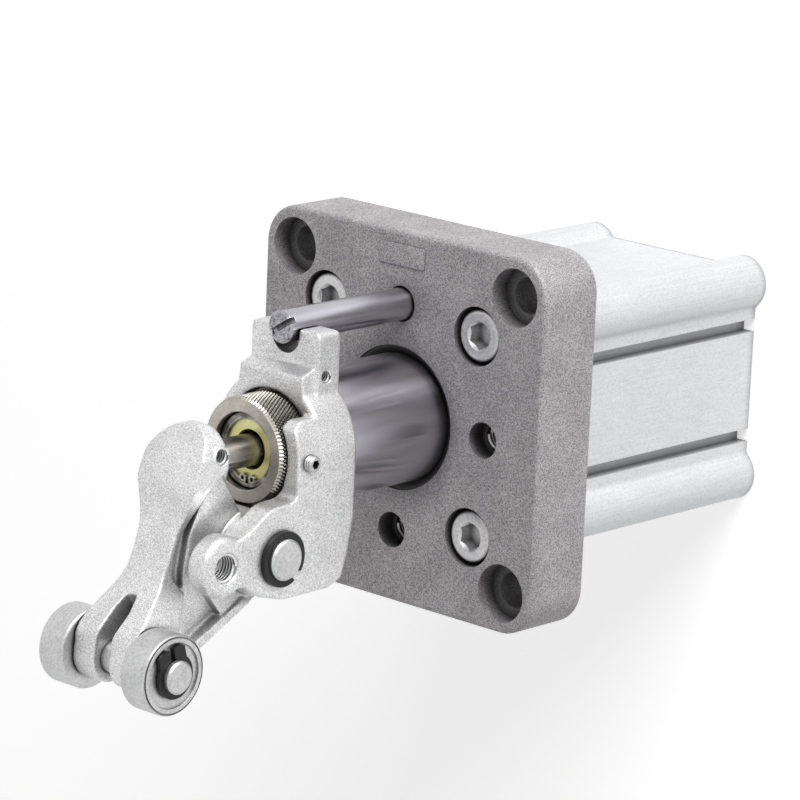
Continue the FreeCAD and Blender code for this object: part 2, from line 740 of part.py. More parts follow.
def dial_set_screw():
    """A grub screw that holds the dial, standing proud of the cheek."""
    outer = HOLDER_W / 2 + DIAL_SCREW_PROUD
    z = SEAT + DIAL_SCREW_H
    solid = bar(DIAL_SCREW_D / 2, DIAL_D / 2 + FACE_GAP, outer, 0, z)
    place = FreeCAD.Placement(Vector(outer - 2.2, 0, z), FreeCAD.Rotation(Y_AXIS, 90))
    return solid.cut(hexagon(DIAL_SCREW_HEX, 0, 2.2, place))


def absorber_body():
    radius = ABSORBER_D / 2
    flange_top = ABSORBER_TOP + ABSORBER_FLANGE_T
    solid = cylinder(radius, ABSORBER_END, ABSORBER_TOP)
    solid = solid.fuse(cylinder(DIAL_BORE_D / 2 - FACE_GAP, ABSORBER_TOP, flange_top))
    solid = solid.fuse(cylinder(NECK_D / 2, flange_top, NECK_TOP))
    cavity_top = gland_span()[0]
    cuts = [
        cylinder(PLUNGER_HEAD_D / 2 + FACE_GAP, ABSORBER_END + ABSORBER_WALL, cavity_top),
        cylinder(GLAND_D / 2 + SEATED, cavity_top, NECK_TOP),
    ]
    return solid.cut(cuts)


def gland_span():
    """Low and high of the gland inside the absorber's neck."""
    high = NECK_TOP - FACE_GAP - NECK_RING_T - WASHER_T
    return high - GLAND_L, high


def absorber_gland():
    low, high = gland_span()
    solid = ring(GLAND_D / 2, PLUNGER_D / 2 + RUNNING, low, high)
    return solid.cut(cylinder(WASHER_HOLE_D / 2, high - 3.0, high))


def absorber_washer():
    high = gland_span()[1]
    return ring(GLAND_D / 2, WASHER_HOLE_D / 2, high, high + WASHER_T)


def absorber_snap_ring():
    low = gland_span()[1] + WASHER_T
    high = low + NECK_RING_T
    outer = GLAND_D / 2
    inner = outer - NECK_RING_W
    solid = ring(outer, inner, low, high)
    eye_y = NECK_RING_EYE_R - math.sqrt(outer ** 2 - NECK_RING_EYE_X ** 2)
    eyes = [-NECK_RING_EYE_X, NECK_RING_EYE_X]
    for x in eyes:
        solid = solid.fuse(cylinder(NECK_RING_EYE_R, low, high, x, eye_y))
    solid = solid.common(cylinder(outer, low, high))
    gap = block((-0.5, -outer, low), (0.5, eye_y + NECK_RING_EYE_R, high))
    holes = [cylinder(NECK_RING_EYE_R / 2, low, high, x, eye_y) for x in eyes]
    return solid.cut([gap] + holes)


def absorber_plunger():
    """The rod of the absorber, with its piston at the lower end."""
    head_low = ABSORBER_END + ABSORBER_L * 0.38
    rod = cylinder(PLUNGER_D / 2, head_low, PLUNGER_TIP)
    tip = [edge for edge in rod.Edges if abs(edge.BoundBox.ZMin - PLUNGER_TIP) < 1e-6]
    rod = rod.makeFillet(0.8, tip)
    return rod.fuse(cylinder(PLUNGER_HEAD_D / 2, head_low, head_low + PLUNGER_HEAD_H))


def absorber_spring():
    low = ABSORBER_END + ABSORBER_WALL + SEATED
    high = ABSORBER_END + ABSORBER_L * 0.38 - SEATED
    return coil(PLUNGER_HEAD_D - 2 * ABSORBER_WIRE_D, ABSORBER_WIRE_D, low, high, ABSORBER_TURNS)


def adjusting_dial():
    low = ABSORBER_TOP + ABSORBER_FLANGE_T + SEATED
    solid = cylinder(DIAL_D / 2, low, DIAL_FRONT)
    rims = [edge for edge in solid.Edges if abs(edge.BoundBox.ZLength) < 1e-6]
    solid = solid.makeChamfer(DIAL_EDGE, rims)
    waist = ring(DIAL_D / 2, DIAL_D / 2 - 0.4, DIAL_FRONT - DIAL_RIM, DIAL_FRONT - DIAL_RIM + 0.6)
    mouth = cylinder(NECK_D / 2 + DIAL_MOUTH_GAP, DIAL_FRONT - DIAL_MOUTH_DEPTH, DIAL_FRONT)
    return solid.cut([cylinder(NECK_D / 2 + RUNNING, low, DIAL_FRONT), mouth, waist])


def lever_pin():
    half = LEVER_PIN_L / 2
    radius = LEVER_PIN_D / 2
    solid = bar(radius, -half, half, PIVOT_Y, PIVOT_Z)
    rims = [edge for edge in solid.Edges if abs(edge.BoundBox.XLength) < 1e-6]
    solid = solid.makeChamfer(0.5, rims)
    low = HOLDER_W / 2
    groove = bar(radius, low, low + LEVER_RING_T + SEATED, PIVOT_Y, PIVOT_Z)
    groove = groove.cut(bar(radius - RING_GROOVE_DEPTH, low, low + LEVER_RING_T + SEATED, PIVOT_Y, PIVOT_Z))
    return solid.cut([groove, mirrored(groove)])


def lever_pin_ring():
    """The open ring on the +X end of the lever pin."""
    inner = LEVER_PIN_D / 2 - RING_GROOVE_DEPTH + SEATED
    thickness = LEVER_RING_T - SEATED
    body = ring(inner + LEVER_RING_W, inner, 0, thickness)
    place = on_pin(HOLDER_W / 2 + SEATED, PIVOT_Y, PIVOT_Z, LEVER_RING_TURN)
    return open_ring(body, LEVER_RING_GAP, LEVER_PIN_D, thickness, place)


def lever_plan():
    """The lever seen along the rod: a round nose, a waist and the fork's arms."""
    head = LEVER_HEAD_W / 2
    core = CORE_W / 2
    fork = FORK_W / 2
    top = ROLLER_Z + FORK_BOSS_R + 1.0
    fork_end = ROLLER_Y - FORK_BOSS_R - 1.0
    right = [
        (head, NOSE_REACH + 1.0, 0.0), (head, -4.0, 5.0), (core, -14.6, 8.0), (core, -24.5, 8.0),
        (fork, -34.0, 4.0), (fork, fork_end, 0.0),
    ]
    left = [(-x, y, radius) for x, y, radius in reversed(right)]
    nose = cylinder(NOSE_R, SEAT, top, 0, NOSE_REACH - NOSE_R)
    rest = block((-head, fork_end, SEAT), (head, 0, top))
    return plan_solid(right + left, SEAT, top).common(nose.fuse(rest))


def lower_edge():
    """The straight outer edge of the lever, touching the hub and the fork boss."""
    hub_y = PIVOT_Y - HUB_SHIFT
    span = math.hypot(ROLLER_Y - hub_y, ROLLER_UP)
    along = math.atan2(ROLLER_UP, ROLLER_Y - hub_y)
    turn = along + math.acos((HUB_R - FORK_BOSS_R) / span)
    unit = Vector(math.cos(turn), math.sin(turn), 0)
    hub_point = Vector(hub_y, PIVOT_Z, 0) + unit * HUB_R
    fork_point = Vector(ROLLER_Y, ROLLER_Z, 0) + unit * FORK_BOSS_R
    return hub_point, fork_point


def lever_front():
    """The lever's front edge, from the nose to the fork boss."""
    return above_seat([
        (NOSE_REACH, 37.9, 3.0), (4.4, 42.3, 20.0), (-2.4, 45.7, 18.0), (-10.3, 46.5, 28.0),
        (-20.9, 50.2, 35.0), (-26.3, 52.9, 14.0), (-37.3, 64.3, 4.0),
    ]) + [(ROLLER_Y, ROLLER_Z + FORK_BOSS_R, 0.0)]


def lever_core():
    """The web that joins hub, head and fork."""
    hub_point, fork_point = lower_edge()
    corners = lever_front() + [
        (ROLLER_Y, ROLLER_Z, 0.0), (fork_point.x, fork_point.y, 0.0), (hub_point.x, hub_point.y, 0.0),
        (PIVOT_Y, PIVOT_Z, 0.0),
    ] + above_seat([(-14.0, 25.8, 0.0), (-7.4, 30.0, 3.0), (-2.6, 33.1, 1.5), (NOSE_REACH, 34.6, 1.5)])
    return side_solid(corners, -CORE_W / 2, CORE_W / 2)


def lever_flanges():
    """The wide strips along the front and the outer edge, with the head and the fork's arms."""
    half = LEVER_HEAD_W / 2
    front = lever_front() + [(ROLLER_Y, ROLLER_Z, 0.0)] + above_seat([
        (-36.0, 49.6, 3.0), (-28.8, 45.6, 2.0), (-18.6, 47.6, 4.0), (-8.6, 41.4, 4.0), (-3.4, 39.1, 1.0),
        (-0.4, 34.3, 1.5), (NOSE_REACH, 34.6, 1.5),
    ])
    hub_point, fork_point = lower_edge()
    along = fork_point - hub_point
    along.normalize()
    inward = Vector(along.y, -along.x, 0) * 2.4
    strip = [hub_point, fork_point, fork_point + inward, hub_point + inward]
    return side_solid(front, -half, half).fuse([
        side_solid([(point.x, point.y, 0.0) for point in strip], -half, half),
        bar(FORK_BOSS_R, -half, half, ROLLER_Y, ROLLER_Z),
    ])


def lever_shoulder():
    """The raised area between the hub and the outer edge."""
    hub_point, fork_point = lower_edge()
    along = fork_point - hub_point
    along.normalize()
    far = hub_point + along * 15.0
    corners = [(hub_point.x, hub_point.y, 0.0), (far.x, far.y, 0.0)]
    corners += above_seat([(-35.2, 35.0, 1.0), (-27.8, 40.8, 2.0), (-21.6, 30.4, 0.0)])
    return side_solid(corners, -BACK_W / 2, BACK_W / 2)


def lever_groove():
    """The curved groove in the +X side of the lever, behind its front strip."""
    corners = above_seat([
        (-4.0, 37.9, 0.8), (-3.4, 39.1, 0.4), (-10.8, 44.0, 4.0), (-19.4, 48.0, 4.0), (-25.0, 48.8, 2.0),
        (-29.8, 45.0, 0.8), (-23.6, 45.0, 3.0), (-15.4, 43.4, 6.0),
    ])
    return side_solid(corners, CORE_W / 2 - GROOVE_CUT, LEVER_HEAD_W / 2)


def fork_slot():
    """The slot between the fork's arms, with a square end where it is narrowest."""
    lean = math.degrees(math.atan2(ROLLER_OUT, ROLLER_UP))
    boss = math.hypot(ROLLER_OUT, ROLLER_UP)
    wide = FORK_SLOT_W / 2
    narrow = FORK_SLOT_END_W / 2
    reach = boss + 2 * FORK_BOSS_R
    cutter = plan_solid([
        (-narrow, FORK_SLOT_START, 0.5), (narrow, FORK_SLOT_START, 0.5), (wide, boss - FORK_BOSS_R, 3.0),
        (wide, reach, 0.0), (-wide, reach, 0.0), (-wide, boss - FORK_BOSS_R, 3.0),
    ], -ROLLER_UP, ROLLER_UP)
    cutter.Placement = FreeCAD.Placement(Vector(0, PIVOT_Y, PIVOT_Z), FreeCAD.Rotation(X_AXIS, lean + 90))
    return cutter


def lever():
    half_head = LEVER_HEAD_W / 2
    half_hub = HOLDER_W / 2 - EAR_T - HUB_GAP
    plan = lever_plan()
    solid = lever_core().common(plan).fuse([
        lever_flanges().common(plan),
        lever_shoulder(),
        bar(FORK_BOSS_R, -CORE_W / 2, CORE_W / 2, ROLLER_Y, ROLLER_Z),
        bar(HUB_R, -half_hub, half_hub, PIVOT_Y - HUB_SHIFT, PIVOT_Z),
        bar(PAD_R, -PAD_W / 2, PAD_W / 2, PAD_Y, PAD_Z),
    ])
    groove = lever_groove()
    bush_hole = LEVER_PIN_D / 2 + RUNNING + LEVER_BUSH_WALL + SEATED
    cuts = [
        groove,
        mirrored(groove),
        bar(bush_hole, -half_hub, half_hub, PIVOT_Y, PIVOT_Z),
        bar(ROLLER_PIN_D / 2 + SEATED, -half_head, half_head, ROLLER_Y, ROLLER_Z),
        bar(LEVER_HOLE_D / 2, -half_head, half_head, LEVER_HOLE_Y, SEAT + LEVER_HOLE_H),
        fork_slot(),
    ]
    return solid.cut(cuts).removeSplitter()


def lever_bush():
    half_hub = HOLDER_W / 2 - EAR_T - HUB_GAP
    inner = LEVER_PIN_D / 2 + RUNNING
    outer = bar(inner + LEVER_BUSH_WALL, -half_hub, half_hub, PIVOT_Y, PIVOT_Z)
    return outer.cut(bar(inner, -half_hub, half_hub, PIVOT_Y, PIVOT_Z))


def roller_span():
    """The +X roller's inner and outer face."""
    inner = FORK_W / 2 + ROLLER_GAP
    return inner, inner + ROLLER_W


def roller():
    """The +X roller, with a groove and a shallow recess in its outer face."""
    inner, outer = roller_span()
    solid = bar(ROLLER_D / 2, inner, outer, ROLLER_Y, ROLLER_Z)
    rims = [edge for edge in solid.Edges if abs(edge.BoundBox.XLength) < 1e-6]
    solid = solid.makeFillet(ROLLER_EDGE_R, rims)
    groove_r = ROLLER_GROOVE_D / 2
    groove = bar(groove_r + ROLLER_GROOVE_W, outer - ROLLER_GROOVE_W, outer, ROLLER_Y, ROLLER_Z)
    groove = groove.cut(bar(groove_r, outer - ROLLER_GROOVE_W, outer, ROLLER_Y, ROLLER_Z))
    return solid.cut([
        groove,
        bar(ROLLER_RECESS_D / 2, outer - ROLLER_RECESS, outer, ROLLER_Y, ROLLER_Z),
        bar(ROLLER_PIN_D / 2 + RUNNING, inner, outer, ROLLER_Y, ROLLER_Z),
    ])


def roller_ring_start():
    return roller_span()[1] - ROLLER_RECESS + ROLLER_GAP


def roller_pin():
    half = ROLLER_PIN_L / 2
    radius = ROLLER_PIN_D / 2
    solid = bar(radius, -half, half, ROLLER_Y, ROLLER_Z)
    rims = [edge for edge in solid.Edges if abs(edge.BoundBox.XLength) < 1e-6]
    solid = solid.makeChamfer(0.5, rims)
    low = roller_ring_start() - SEATED
    high = low + ROLLER_RING_T + 2 * SEATED
    groove = bar(radius, low, high, ROLLER_Y, ROLLER_Z)
    groove = groove.cut(bar(radius - RING_GROOVE_DEPTH, low, high, ROLLER_Y, ROLLER_Z))
    return solid.cut([groove, mirrored(groove)])


def roller_ring():
    """The open ring with two prongs that keeps the +X roller on its pin."""
    inner = ROLLER_PIN_D / 2 - RING_GROOVE_DEPTH + SEATED
    half = ROLLER_RING_PRONG_W / 2
    prongs = block((-half, 0, 0), (half, ROLLER_RING_PRONG, ROLLER_RING_T))
    body = cylinder(inner + ROLLER_RING_W, 0, ROLLER_RING_T).fuse(prongs)
    body = body.common(cylinder(ROLLER_RECESS_D / 2 - ROLLER_GAP, 0, ROLLER_RING_T))
    body = body.cut(cylinder(inner, 0, ROLLER_RING_T))
    place = on_pin(roller_ring_start(), ROLLER_Y, ROLLER_Z, ROLLER_RING_TURN)
    return open_ring(body, ROLLER_RING_GAP, ROLLER_RING_PRONG, ROLLER_RING_T, place)


def all_pieces():
    """Every piece under the name of its node."""
    return {
        "rod_cover": rod_cover(),
        "cover_o_ring": cover_o_ring(),
        "rod_bushing": rod_bushing(),
        "rod_seal": rod_seal(),
        "rod_scraper": rod_scraper(),
        "top_bumper": top_bumper(),
        "cover_screws": cover_screws(),
        "guide_rod": guide_rod(),
        "cylinder_tube": cylinder_tube(),
        "head_plate": head_plate(),
        "head_o_ring": head_o_ring(),
        "head_snap_ring": head_snap_ring(),
        "bottom_bumper": bottom_bumper(),
        "return_spring": return_spring(),
        "piston": piston(),
        "piston_seal": piston_seal(),
        "piston_wear_ring": piston_wear_ring(),
        "piston_magnet": piston_magnet(),
        "piston_screw": piston_screw(),
        "piston_rod": piston_rod(),
        "lever_holder": lever_holder(),
        "rod_lock_screw": rod_lock_screw(),
        "dial_set_screw": dial_set_screw(),
        "absorber_body": absorber_body(),
        "absorber_gland": absorber_gland(),
        "absorber_washer": absorber_washer(),
        "absorber_snap_ring": absorber_snap_ring(),
        "absorber_spring": absorber_spring(),
        "absorber_plunger": absorber_plunger(),
        "adjusting_dial": adjusting_dial(),
        "lever_pin": lever_pin(),
        "lever_pin_ring_right": lever_pin_ring(),
        "lever_pin_ring_left": mirrored(lever_pin_ring()),
        "lever": lever(),
        "lever_bush": lever_bush(),
        "roller_right": roller(),
        "roller_left": mirrored(roller()),
        "roller_pin": roller_pin(),
        "roller_ring_right": roller_ring(),
        "roller_ring_left": mirrored(roller_ring()),
    }


os.makedirs("parts", exist_ok=True)
for name, shape in all_pieces().items():
    shape.exportStep("parts/" + name + ".step")
    print(name, len(shape.Solids), "solid", round(shape.Volume, 1), "mm3, valid", shape.isValid())
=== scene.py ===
import json
import math

import bmesh
import bpy
from mathutils import Matrix, Vector


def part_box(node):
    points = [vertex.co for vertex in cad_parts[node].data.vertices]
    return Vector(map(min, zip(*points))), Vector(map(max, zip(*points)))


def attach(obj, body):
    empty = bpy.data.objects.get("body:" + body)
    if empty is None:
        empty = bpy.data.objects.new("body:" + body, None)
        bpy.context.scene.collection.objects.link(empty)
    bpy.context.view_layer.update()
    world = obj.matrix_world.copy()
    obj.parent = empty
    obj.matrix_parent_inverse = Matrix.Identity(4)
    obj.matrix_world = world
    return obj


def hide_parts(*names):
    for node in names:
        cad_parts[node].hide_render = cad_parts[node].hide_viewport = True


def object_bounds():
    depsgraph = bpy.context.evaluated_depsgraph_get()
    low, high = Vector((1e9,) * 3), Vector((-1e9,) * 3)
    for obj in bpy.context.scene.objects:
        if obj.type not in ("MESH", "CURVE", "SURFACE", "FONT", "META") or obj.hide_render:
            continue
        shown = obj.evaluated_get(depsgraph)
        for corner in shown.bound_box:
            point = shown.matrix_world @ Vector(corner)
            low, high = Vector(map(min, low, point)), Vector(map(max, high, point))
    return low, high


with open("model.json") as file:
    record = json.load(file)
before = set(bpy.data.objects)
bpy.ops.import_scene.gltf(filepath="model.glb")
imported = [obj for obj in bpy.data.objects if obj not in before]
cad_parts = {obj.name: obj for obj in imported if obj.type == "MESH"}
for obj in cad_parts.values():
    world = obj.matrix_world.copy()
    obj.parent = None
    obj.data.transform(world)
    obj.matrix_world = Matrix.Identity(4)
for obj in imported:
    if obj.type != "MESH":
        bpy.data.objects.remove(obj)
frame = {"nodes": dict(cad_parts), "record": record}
cad_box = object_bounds()

# Stopper cylinder: finishes, cast surfaces and fine detail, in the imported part's own frame.
# +Z runs along the rod, +Y points to the guide rod and +X to the side with the dial's set screw.
# Places and sizes of pieces are in millimetres until they go into a mesh.

MM = 0.001
X_AXIS = Vector((1, 0, 0))
Z_AXIS = Vector((0, 0, 1))
ORIGIN = Vector((0, 0, 0))

# The camera of the photograph
CAMERA_PLACE = Vector((0.73357, 0.27229, 0.81720))
CAMERA_AIM = Vector((0.01152, 0.00840, 0.03043))
CAMERA_UP = Vector((-0.19401, 0.96988, -0.14727))
CAMERA_LENS = 205.76
CAMERA_SENSOR = 36

# The lamp: its direction, its distance and width in metres, its level on a surface that faces it
LAMP_WAY = Vector((0.50, 0.82, 0.24))
LAMP_DISTANCE = 1.4
LAMP_WIDTH = 0.8
LAMP_LEVEL = 0.86

# The surround's level as fill light, and the floor: width in metres, gap under the part, shade,
# roughness and the glow that lifts it to white in the picture
FILL_LEVEL = 0.36
FLOOR_WIDTH = 8
FLOOR_GAP = 0.2
FLOOR_SHADE = (0.9, 0.9, 0.9, 1)
FLOOR_ROUGHNESS = 0.9
FLOOR_LIFT = 0.52

# Meshes: points this close are merged, cutters reach this far past a mouth, edges this sharp stay
WELD = 0.001
CAD_WELD = 0.002
OVERSHOOT = 2.0
SOCKET_OVERSHOOT = 1.0
CREASE = math.radians(32)

# Castings: cell size and rounds of smoothing, play of a hole around its pin, bite of a plug into
# the wall of its hole, lips of holes, how much deeper the ear's is and the depth of a mouth alone
CAST_CELL = 0.35
CAST_ROUNDS = 3
HOLE_PLAY = 0.02
PLUG_BITE = 0.05
LIP = 0.2
EAR_HOLE_LIP = 0.3
EAR_HOLE_DEEPER = 1.5
MOUTH_DEPTH = 1.0

# Castings: where plugs and drills along X begin and end, measured from the middle plane
FORK_PLUG_START = 2.8
FORK_PLUG_SHY = 0.1
SCREW_PLUG_LENGTH = 3.4
LEVER_DRILL = 15
LEVER_HOLE_DRILL = 12
HOLDER_DRILL = 25
SCREW_DRILL_START = 12

# Tapped holes by their mount's name: body and slot, then pitch and depth of the thread
THREADS = {
    "ear_hole": ("rod", "bright_cast", 0.9, 0.5),
    "tab_hole": ("rod", "bright_cast", 0.7, 0.34),
    "lever_hole": ("lever", "bright_cast", 0.8, 0.4),
    "port_upper": ("barrel", "tube_anodised", 0.91, 0.45),
    "port_lower": ("barrel", "tube_anodised", 0.91, 0.45),
}

# Threads under the guide rod's seats and in the tube's lobes: radius, length, pitch and depth
SEAT_THREAD = (3.37, 7.0, 1.0, 0.5)
SEAT_LEAD = 0.4
LOBE_THREAD = (4.02, 12.0, 1.25, 0.6)
LOBE_PITCH = 50.0

# The ridge of a thread: steps in a turn, then in pitches its start, the length left free and half
# its width at foot, flank and crest, then its bite into the wall and the height of its foot
THREAD_STEPS = 28
THREAD_START = 0.52
THREAD_FREE = 1.1
THREAD_WIDTHS = (0.499, 0.3, 0.08)
THREAD_BITE = 0.03
THREAD_FOOT = 0.04

# Dial: bore, mouth, bevel of the rim, and a foot that is set back from the rim in two steps
DIAL_BORE_R = 9.1
DIAL_MOUTH_R = 9.4
DIAL_MOUTH_DEPTH = 3.1
DIAL_MOUTH_EDGE = 0.15
DIAL_BEVEL = 0.85
DIAL_FOOT_HEIGHT = 0.9
DIAL_FOOT_BACK = 0.9
DIAL_NECK_BACK = 0.7
DIAL_CREASE = math.radians(20)

# Knurl of the dial: teeth around it, rows of them, their height, and its gaps to foot and front
KNURL_TEETH = 88
KNURL_ROWS = 13
KNURL_DEPTH = 0.5
KNURL_FOOT_GAP = 0.1
KNURL_FRONT_GAP = 0.12
KNURL_MATCH = 0.01

# Cover screws: shank and tip, head with its bevel underneath, knurl and socket
SCREW_R = 4.0
SCREW_TIP = 0.6
HEAD_HEIGHT = 8.0
HEAD_UNDER_BACK = 0.5
HEAD_UNDER_RISE = 0.4
HEAD_TEETH = 44
HEAD_TEETH_DEPTH = 0.25
HEAD_TEETH_MATCH = 0.05
HEX_ACROSS = 6.0
HEX_DEPTH = 4.0
HEX_LIP = 0.25
HEX_LIP_OUT = 0.6

# Rounded edge of a screw's head: each point's drop below the top and step in from the side
HEAD_EDGE = ((1.1, 0.0), (0.55, 0.12), (0.12, 0.55), (0.0, 1.0))

# Grub screw: pitch and depth of its ridges, bevelled point, plain end and socket
GRUB_PITCH = 0.7
GRUB_RIDGE = 0.35
GRUB_POINT = 0.4
GRUB_PLAIN = 0.5
GRUB_EDGE = ((0.35, 0.05), (0.0, 0.4))
GRUB_ACROSS = 2.0
GRUB_SOCKET = 2.0

# Bare raised panel near the flange's upper edge: width, height and rise, then its place
PANEL_SIZE = (15.0, 5.4, 0.3)
PANEL_PLACE = (-0.2, 40.5)
PANEL_SUNK = 0.4
PANEL_CORNER = 0.8
PANEL_EDGE = 0.22
PANEL_CREASE = math.radians(50)

# Ways that the lines of a finish run: a pattern is stretched where its scale is small
ALONG_Z = (1, 1, 0.02)
LONG_Z = (1, 1, 0.15)
ROUND_Z = (0.05, 0.05, 1)
ROUND_X = (1, 0.05, 0.05)
EVEN = (1, 1, 1)


# Nodes of a finish

def new_finish(name):
    """A material with its node tree and its shader."""
    material = bpy.data.materials.new(name)
    material.use_nodes = True
    tree = material.node_tree
    return material, tree, tree.nodes["Principled BSDF"]


def add(tree, kind, settings=None, **values):
    """A node of a kind, with settings by attribute and input values by socket name."""
    made = tree.nodes.new(kind)
    for key, value in (settings or {}).items():
        setattr(made, key, value)
    for key, value in values.items():
        made.inputs[key.replace("_", " ")].default_value = value
    return made


def place_on_piece(tree, stretch=EVEN):
    """The piece's own coordinates, stretched to give a pattern its direction."""
    coordinates = add(tree, "ShaderNodeTexCoord")
    mapping = add(tree, "ShaderNodeMapping", Scale=stretch)
    tree.links.new(coordinates.outputs["Object"], mapping.inputs["Vector"])
    return mapping.outputs["Vector"]


def speckle(tree, where, size, detail=3.0, rough=0.55):
    """Noise whose blots are about size millimetres across."""
    noise = add(tree, "ShaderNodeTexNoise", Scale=1 / (size * MM), Detail=detail, Roughness=rough)
    tree.links.new(where, noise.inputs["Vector"])
    return noise.outputs["Fac"]


def between(tree, factor, low, high, span=(0.3, 0.7)):
    """A colour or value that goes from low to high as the factor crosses its span."""
    ramp = add(tree, "ShaderNodeValToRGB")
    ends = ramp.color_ramp.elements
    for end, at, value in zip(ends, span, (low, high)):
        end.position = at
        end.color = (*value, 1) if isinstance(value, tuple) else (value, value, value, 1)
    tree.links.new(factor, ramp.inputs["Fac"])
    return ramp.outputs["Color"]


def times(tree, colour, shade):
    """One colour multiplied by another."""
    mix = add(tree, "ShaderNodeMix", {"data_type": "RGBA", "blend_type": "MULTIPLY"})
    mix.inputs[0].default_value = 1.0
    tree.links.new(colour, mix.inputs[6])
    tree.links.new(shade, mix.inputs[7])
    return mix.outputs[2]


def painted_crevice_shade(tree, reach, dark, span=(0.25, 0.8)):
    """Painted shade that darkens the colour where the surface is shut in within a reach of
    millimetres.
    """
    shut = add(tree, "ShaderNodeAmbientOcclusion", {"samples": 8}, Distance=reach * MM)
    return between(tree, shut.outputs["AO"], dark, 1.0, span)


def rounded(tree, radius):
    """Normals of the surface with its sharp edges rounded to a radius in millimetres."""
    return add(tree, "ShaderNodeBevel", {"samples": 6}, Radius=radius * MM).outputs["Normal"]


def dimple(tree, shader, height, depth, strength, under):
    """Bump of a depth in millimetres over other normals, led to the shader."""
    bump = add(tree, "ShaderNodeBump", Strength=strength, Distance=depth * MM)
    tree.links.new(height, bump.inputs["Height"])
    tree.links.new(under, bump.inputs["Normal"])
    tree.links.new(bump.outputs["Normal"], shader.inputs["Normal"])
    return bump.outputs["Normal"]


# Kinds of finish. Sizes of grain, depths, edge radii and reaches of painted shade are in
# millimetres.

def blasted(name, low, high, rough, grain, dark_grain, depth, metallic, edge, shut,
            span=(0.12, 0.85)):
    """A blasted casting: grain over slow clouds, painted shade where it is shut in, and softened
    edges.
    """
    material, tree, shader = new_finish(name)
    shader.inputs["Metallic"].default_value = metallic
    where = place_on_piece(tree)
    fine = speckle(tree, where, grain, detail=2.0, rough=0.7)
    coarse = speckle(tree, where, grain * 3, detail=3.0, rough=0.6)
    cloud = speckle(tree, where, size=11, detail=2.0)
    edges = rounded(tree, edge)
    colour = between(tree, cloud, low, high, span=(0.35, 0.65))
    colour = times(tree, colour, between(tree, fine, dark_grain, 1.0, span=(0.42, 0.56)))
    colour = times(tree, colour, between(tree, coarse, 0.9, 1.0, span=(0.36, 0.6)))
    # Painted shade: the colour is darkened where the surface is shut in, over a long and a short
    # reach
    colour = times(tree, colour, painted_crevice_shade(tree, shut, dark=0.1, span=span))
    colour = times(tree, colour, painted_crevice_shade(tree, reach=0.8, dark=0.25, span=(0.2, 0.75)))
    tree.links.new(colour, shader.inputs["Base Color"])
    tree.links.new(between(tree, coarse, rough[1], rough[0]), shader.inputs["Roughness"])
    soft = dimple(tree, shader, coarse, depth * 2, strength=0.5, under=edges)
    dimple(tree, shader, fine, depth, strength=0.8, under=soft)
    return material


def drawn(name, low, high, rough, stretch, size, depth, metallic=1.0, edge=0.15, shut=1.5,
          dark=0.35, flecks=0.9, span=(0.25, 0.8)):
    """A turned, ground or extruded surface: fine lines along one way, painted shade where it is
    shut in, softened edges.
    """
    material, tree, shader = new_finish(name)
    shader.inputs["Metallic"].default_value = metallic
    lines = speckle(tree, place_on_piece(tree, stretch), size, detail=4.0, rough=0.6)
    cloud = speckle(tree, place_on_piece(tree), size=9, detail=3.0, rough=0.6)
    fleck = speckle(tree, place_on_piece(tree), size=0.6, detail=2.0, rough=0.6)
    colour = between(tree, cloud, low, high)
    colour = times(tree, colour, between(tree, lines, 0.88, 1.0, span=(0.35, 0.6)))
    colour = times(tree, colour, between(tree, fleck, flecks, 1.0, span=(0.4, 0.55)))
    # Painted shade: the colour is darkened where the surface is shut in
    colour = times(tree, colour, painted_crevice_shade(tree, shut, dark, span))
    tree.links.new(colour, shader.inputs["Base Color"])
    tree.links.new(between(tree, lines, rough[0], rough[1]), shader.inputs["Roughness"])
    dimple(tree, shader, lines, depth, strength=0.6, under=rounded(tree, edge))
    return material


def polished(name, low, high, rough, end_shade, shut):
    """A round bar ground to a sheen that runs along Z, with duller, mottled end faces."""
    material, tree, shader = new_finish(name)
    shader.inputs["Metallic"].default_value = 1.0
    shader.inputs["Anisotropic"].default_value = 0.88
    shader.inputs["Anisotropic Rotation"].default_value = 0.25
    round_z = add(tree, "ShaderNodeTangent", {"direction_type": "RADIAL", "axis": "Z"})
    tree.links.new(round_z.outputs["Tangent"], shader.inputs["Tangent"])
    cloud = speckle(tree, place_on_piece(tree, LONG_Z), size=5, detail=2.0)
    mottle = speckle(tree, place_on_piece(tree), size=0.7, detail=3.0, rough=0.7)
    sides = add(tree, "ShaderNodeTexCoord")
    split = add(tree, "ShaderNodeSeparateXYZ")
    tree.links.new(sides.outputs["Normal"], split.inputs["Vector"])
    ends = between(tree, mottle, end_shade, 1.0, span=(0.4, 0.62))
    on_end = between(tree, split.outputs["Z"], 0.0, 1.0, span=(0.6, 0.9))
    shade = add(tree, "ShaderNodeMix", {"data_type": "RGBA"})
    shade.inputs[6].default_value = (1, 1, 1, 1)
    tree.links.new(on_end, shade.inputs[0])
    tree.links.new(ends, shade.inputs[7])
    colour = between(tree, cloud, low, high, span=(0.4, 0.6))
    colour = times(tree, colour, shade.outputs[2])
    # Painted shade: the colour is darkened where the surface is shut in
    colour = times(tree, colour, painted_crevice_shade(tree, shut, dark=0.2))
    tree.links.new(colour, shader.inputs["Base Color"])
    tree.links.new(between(tree, cloud, rough[0], rough[1]), shader.inputs["Roughness"])
    dimple(tree, shader, mottle, depth=0.001, strength=0.3, under=rounded(tree, 0.2))
    return material


def moulded(name, low, high, rough, grain, depth, gloss=0.5):
    """Rubber, resin or black oxide: no metal, fine mottling."""
    material, tree, shader = new_finish(name)
    shader.inputs["Specular IOR Level"].default_value = gloss
    fine = speckle(tree, place_on_piece(tree), grain, detail=4.0)
    tree.links.new(between(tree, fine, low, high), shader.inputs["Base Color"])
    tree.links.new(between(tree, fine, rough[0], rough[1]), shader.inputs["Roughness"])
    dimple(tree, shader, fine, depth, strength=0.5, under=rounded(tree, 0.12))
    return material


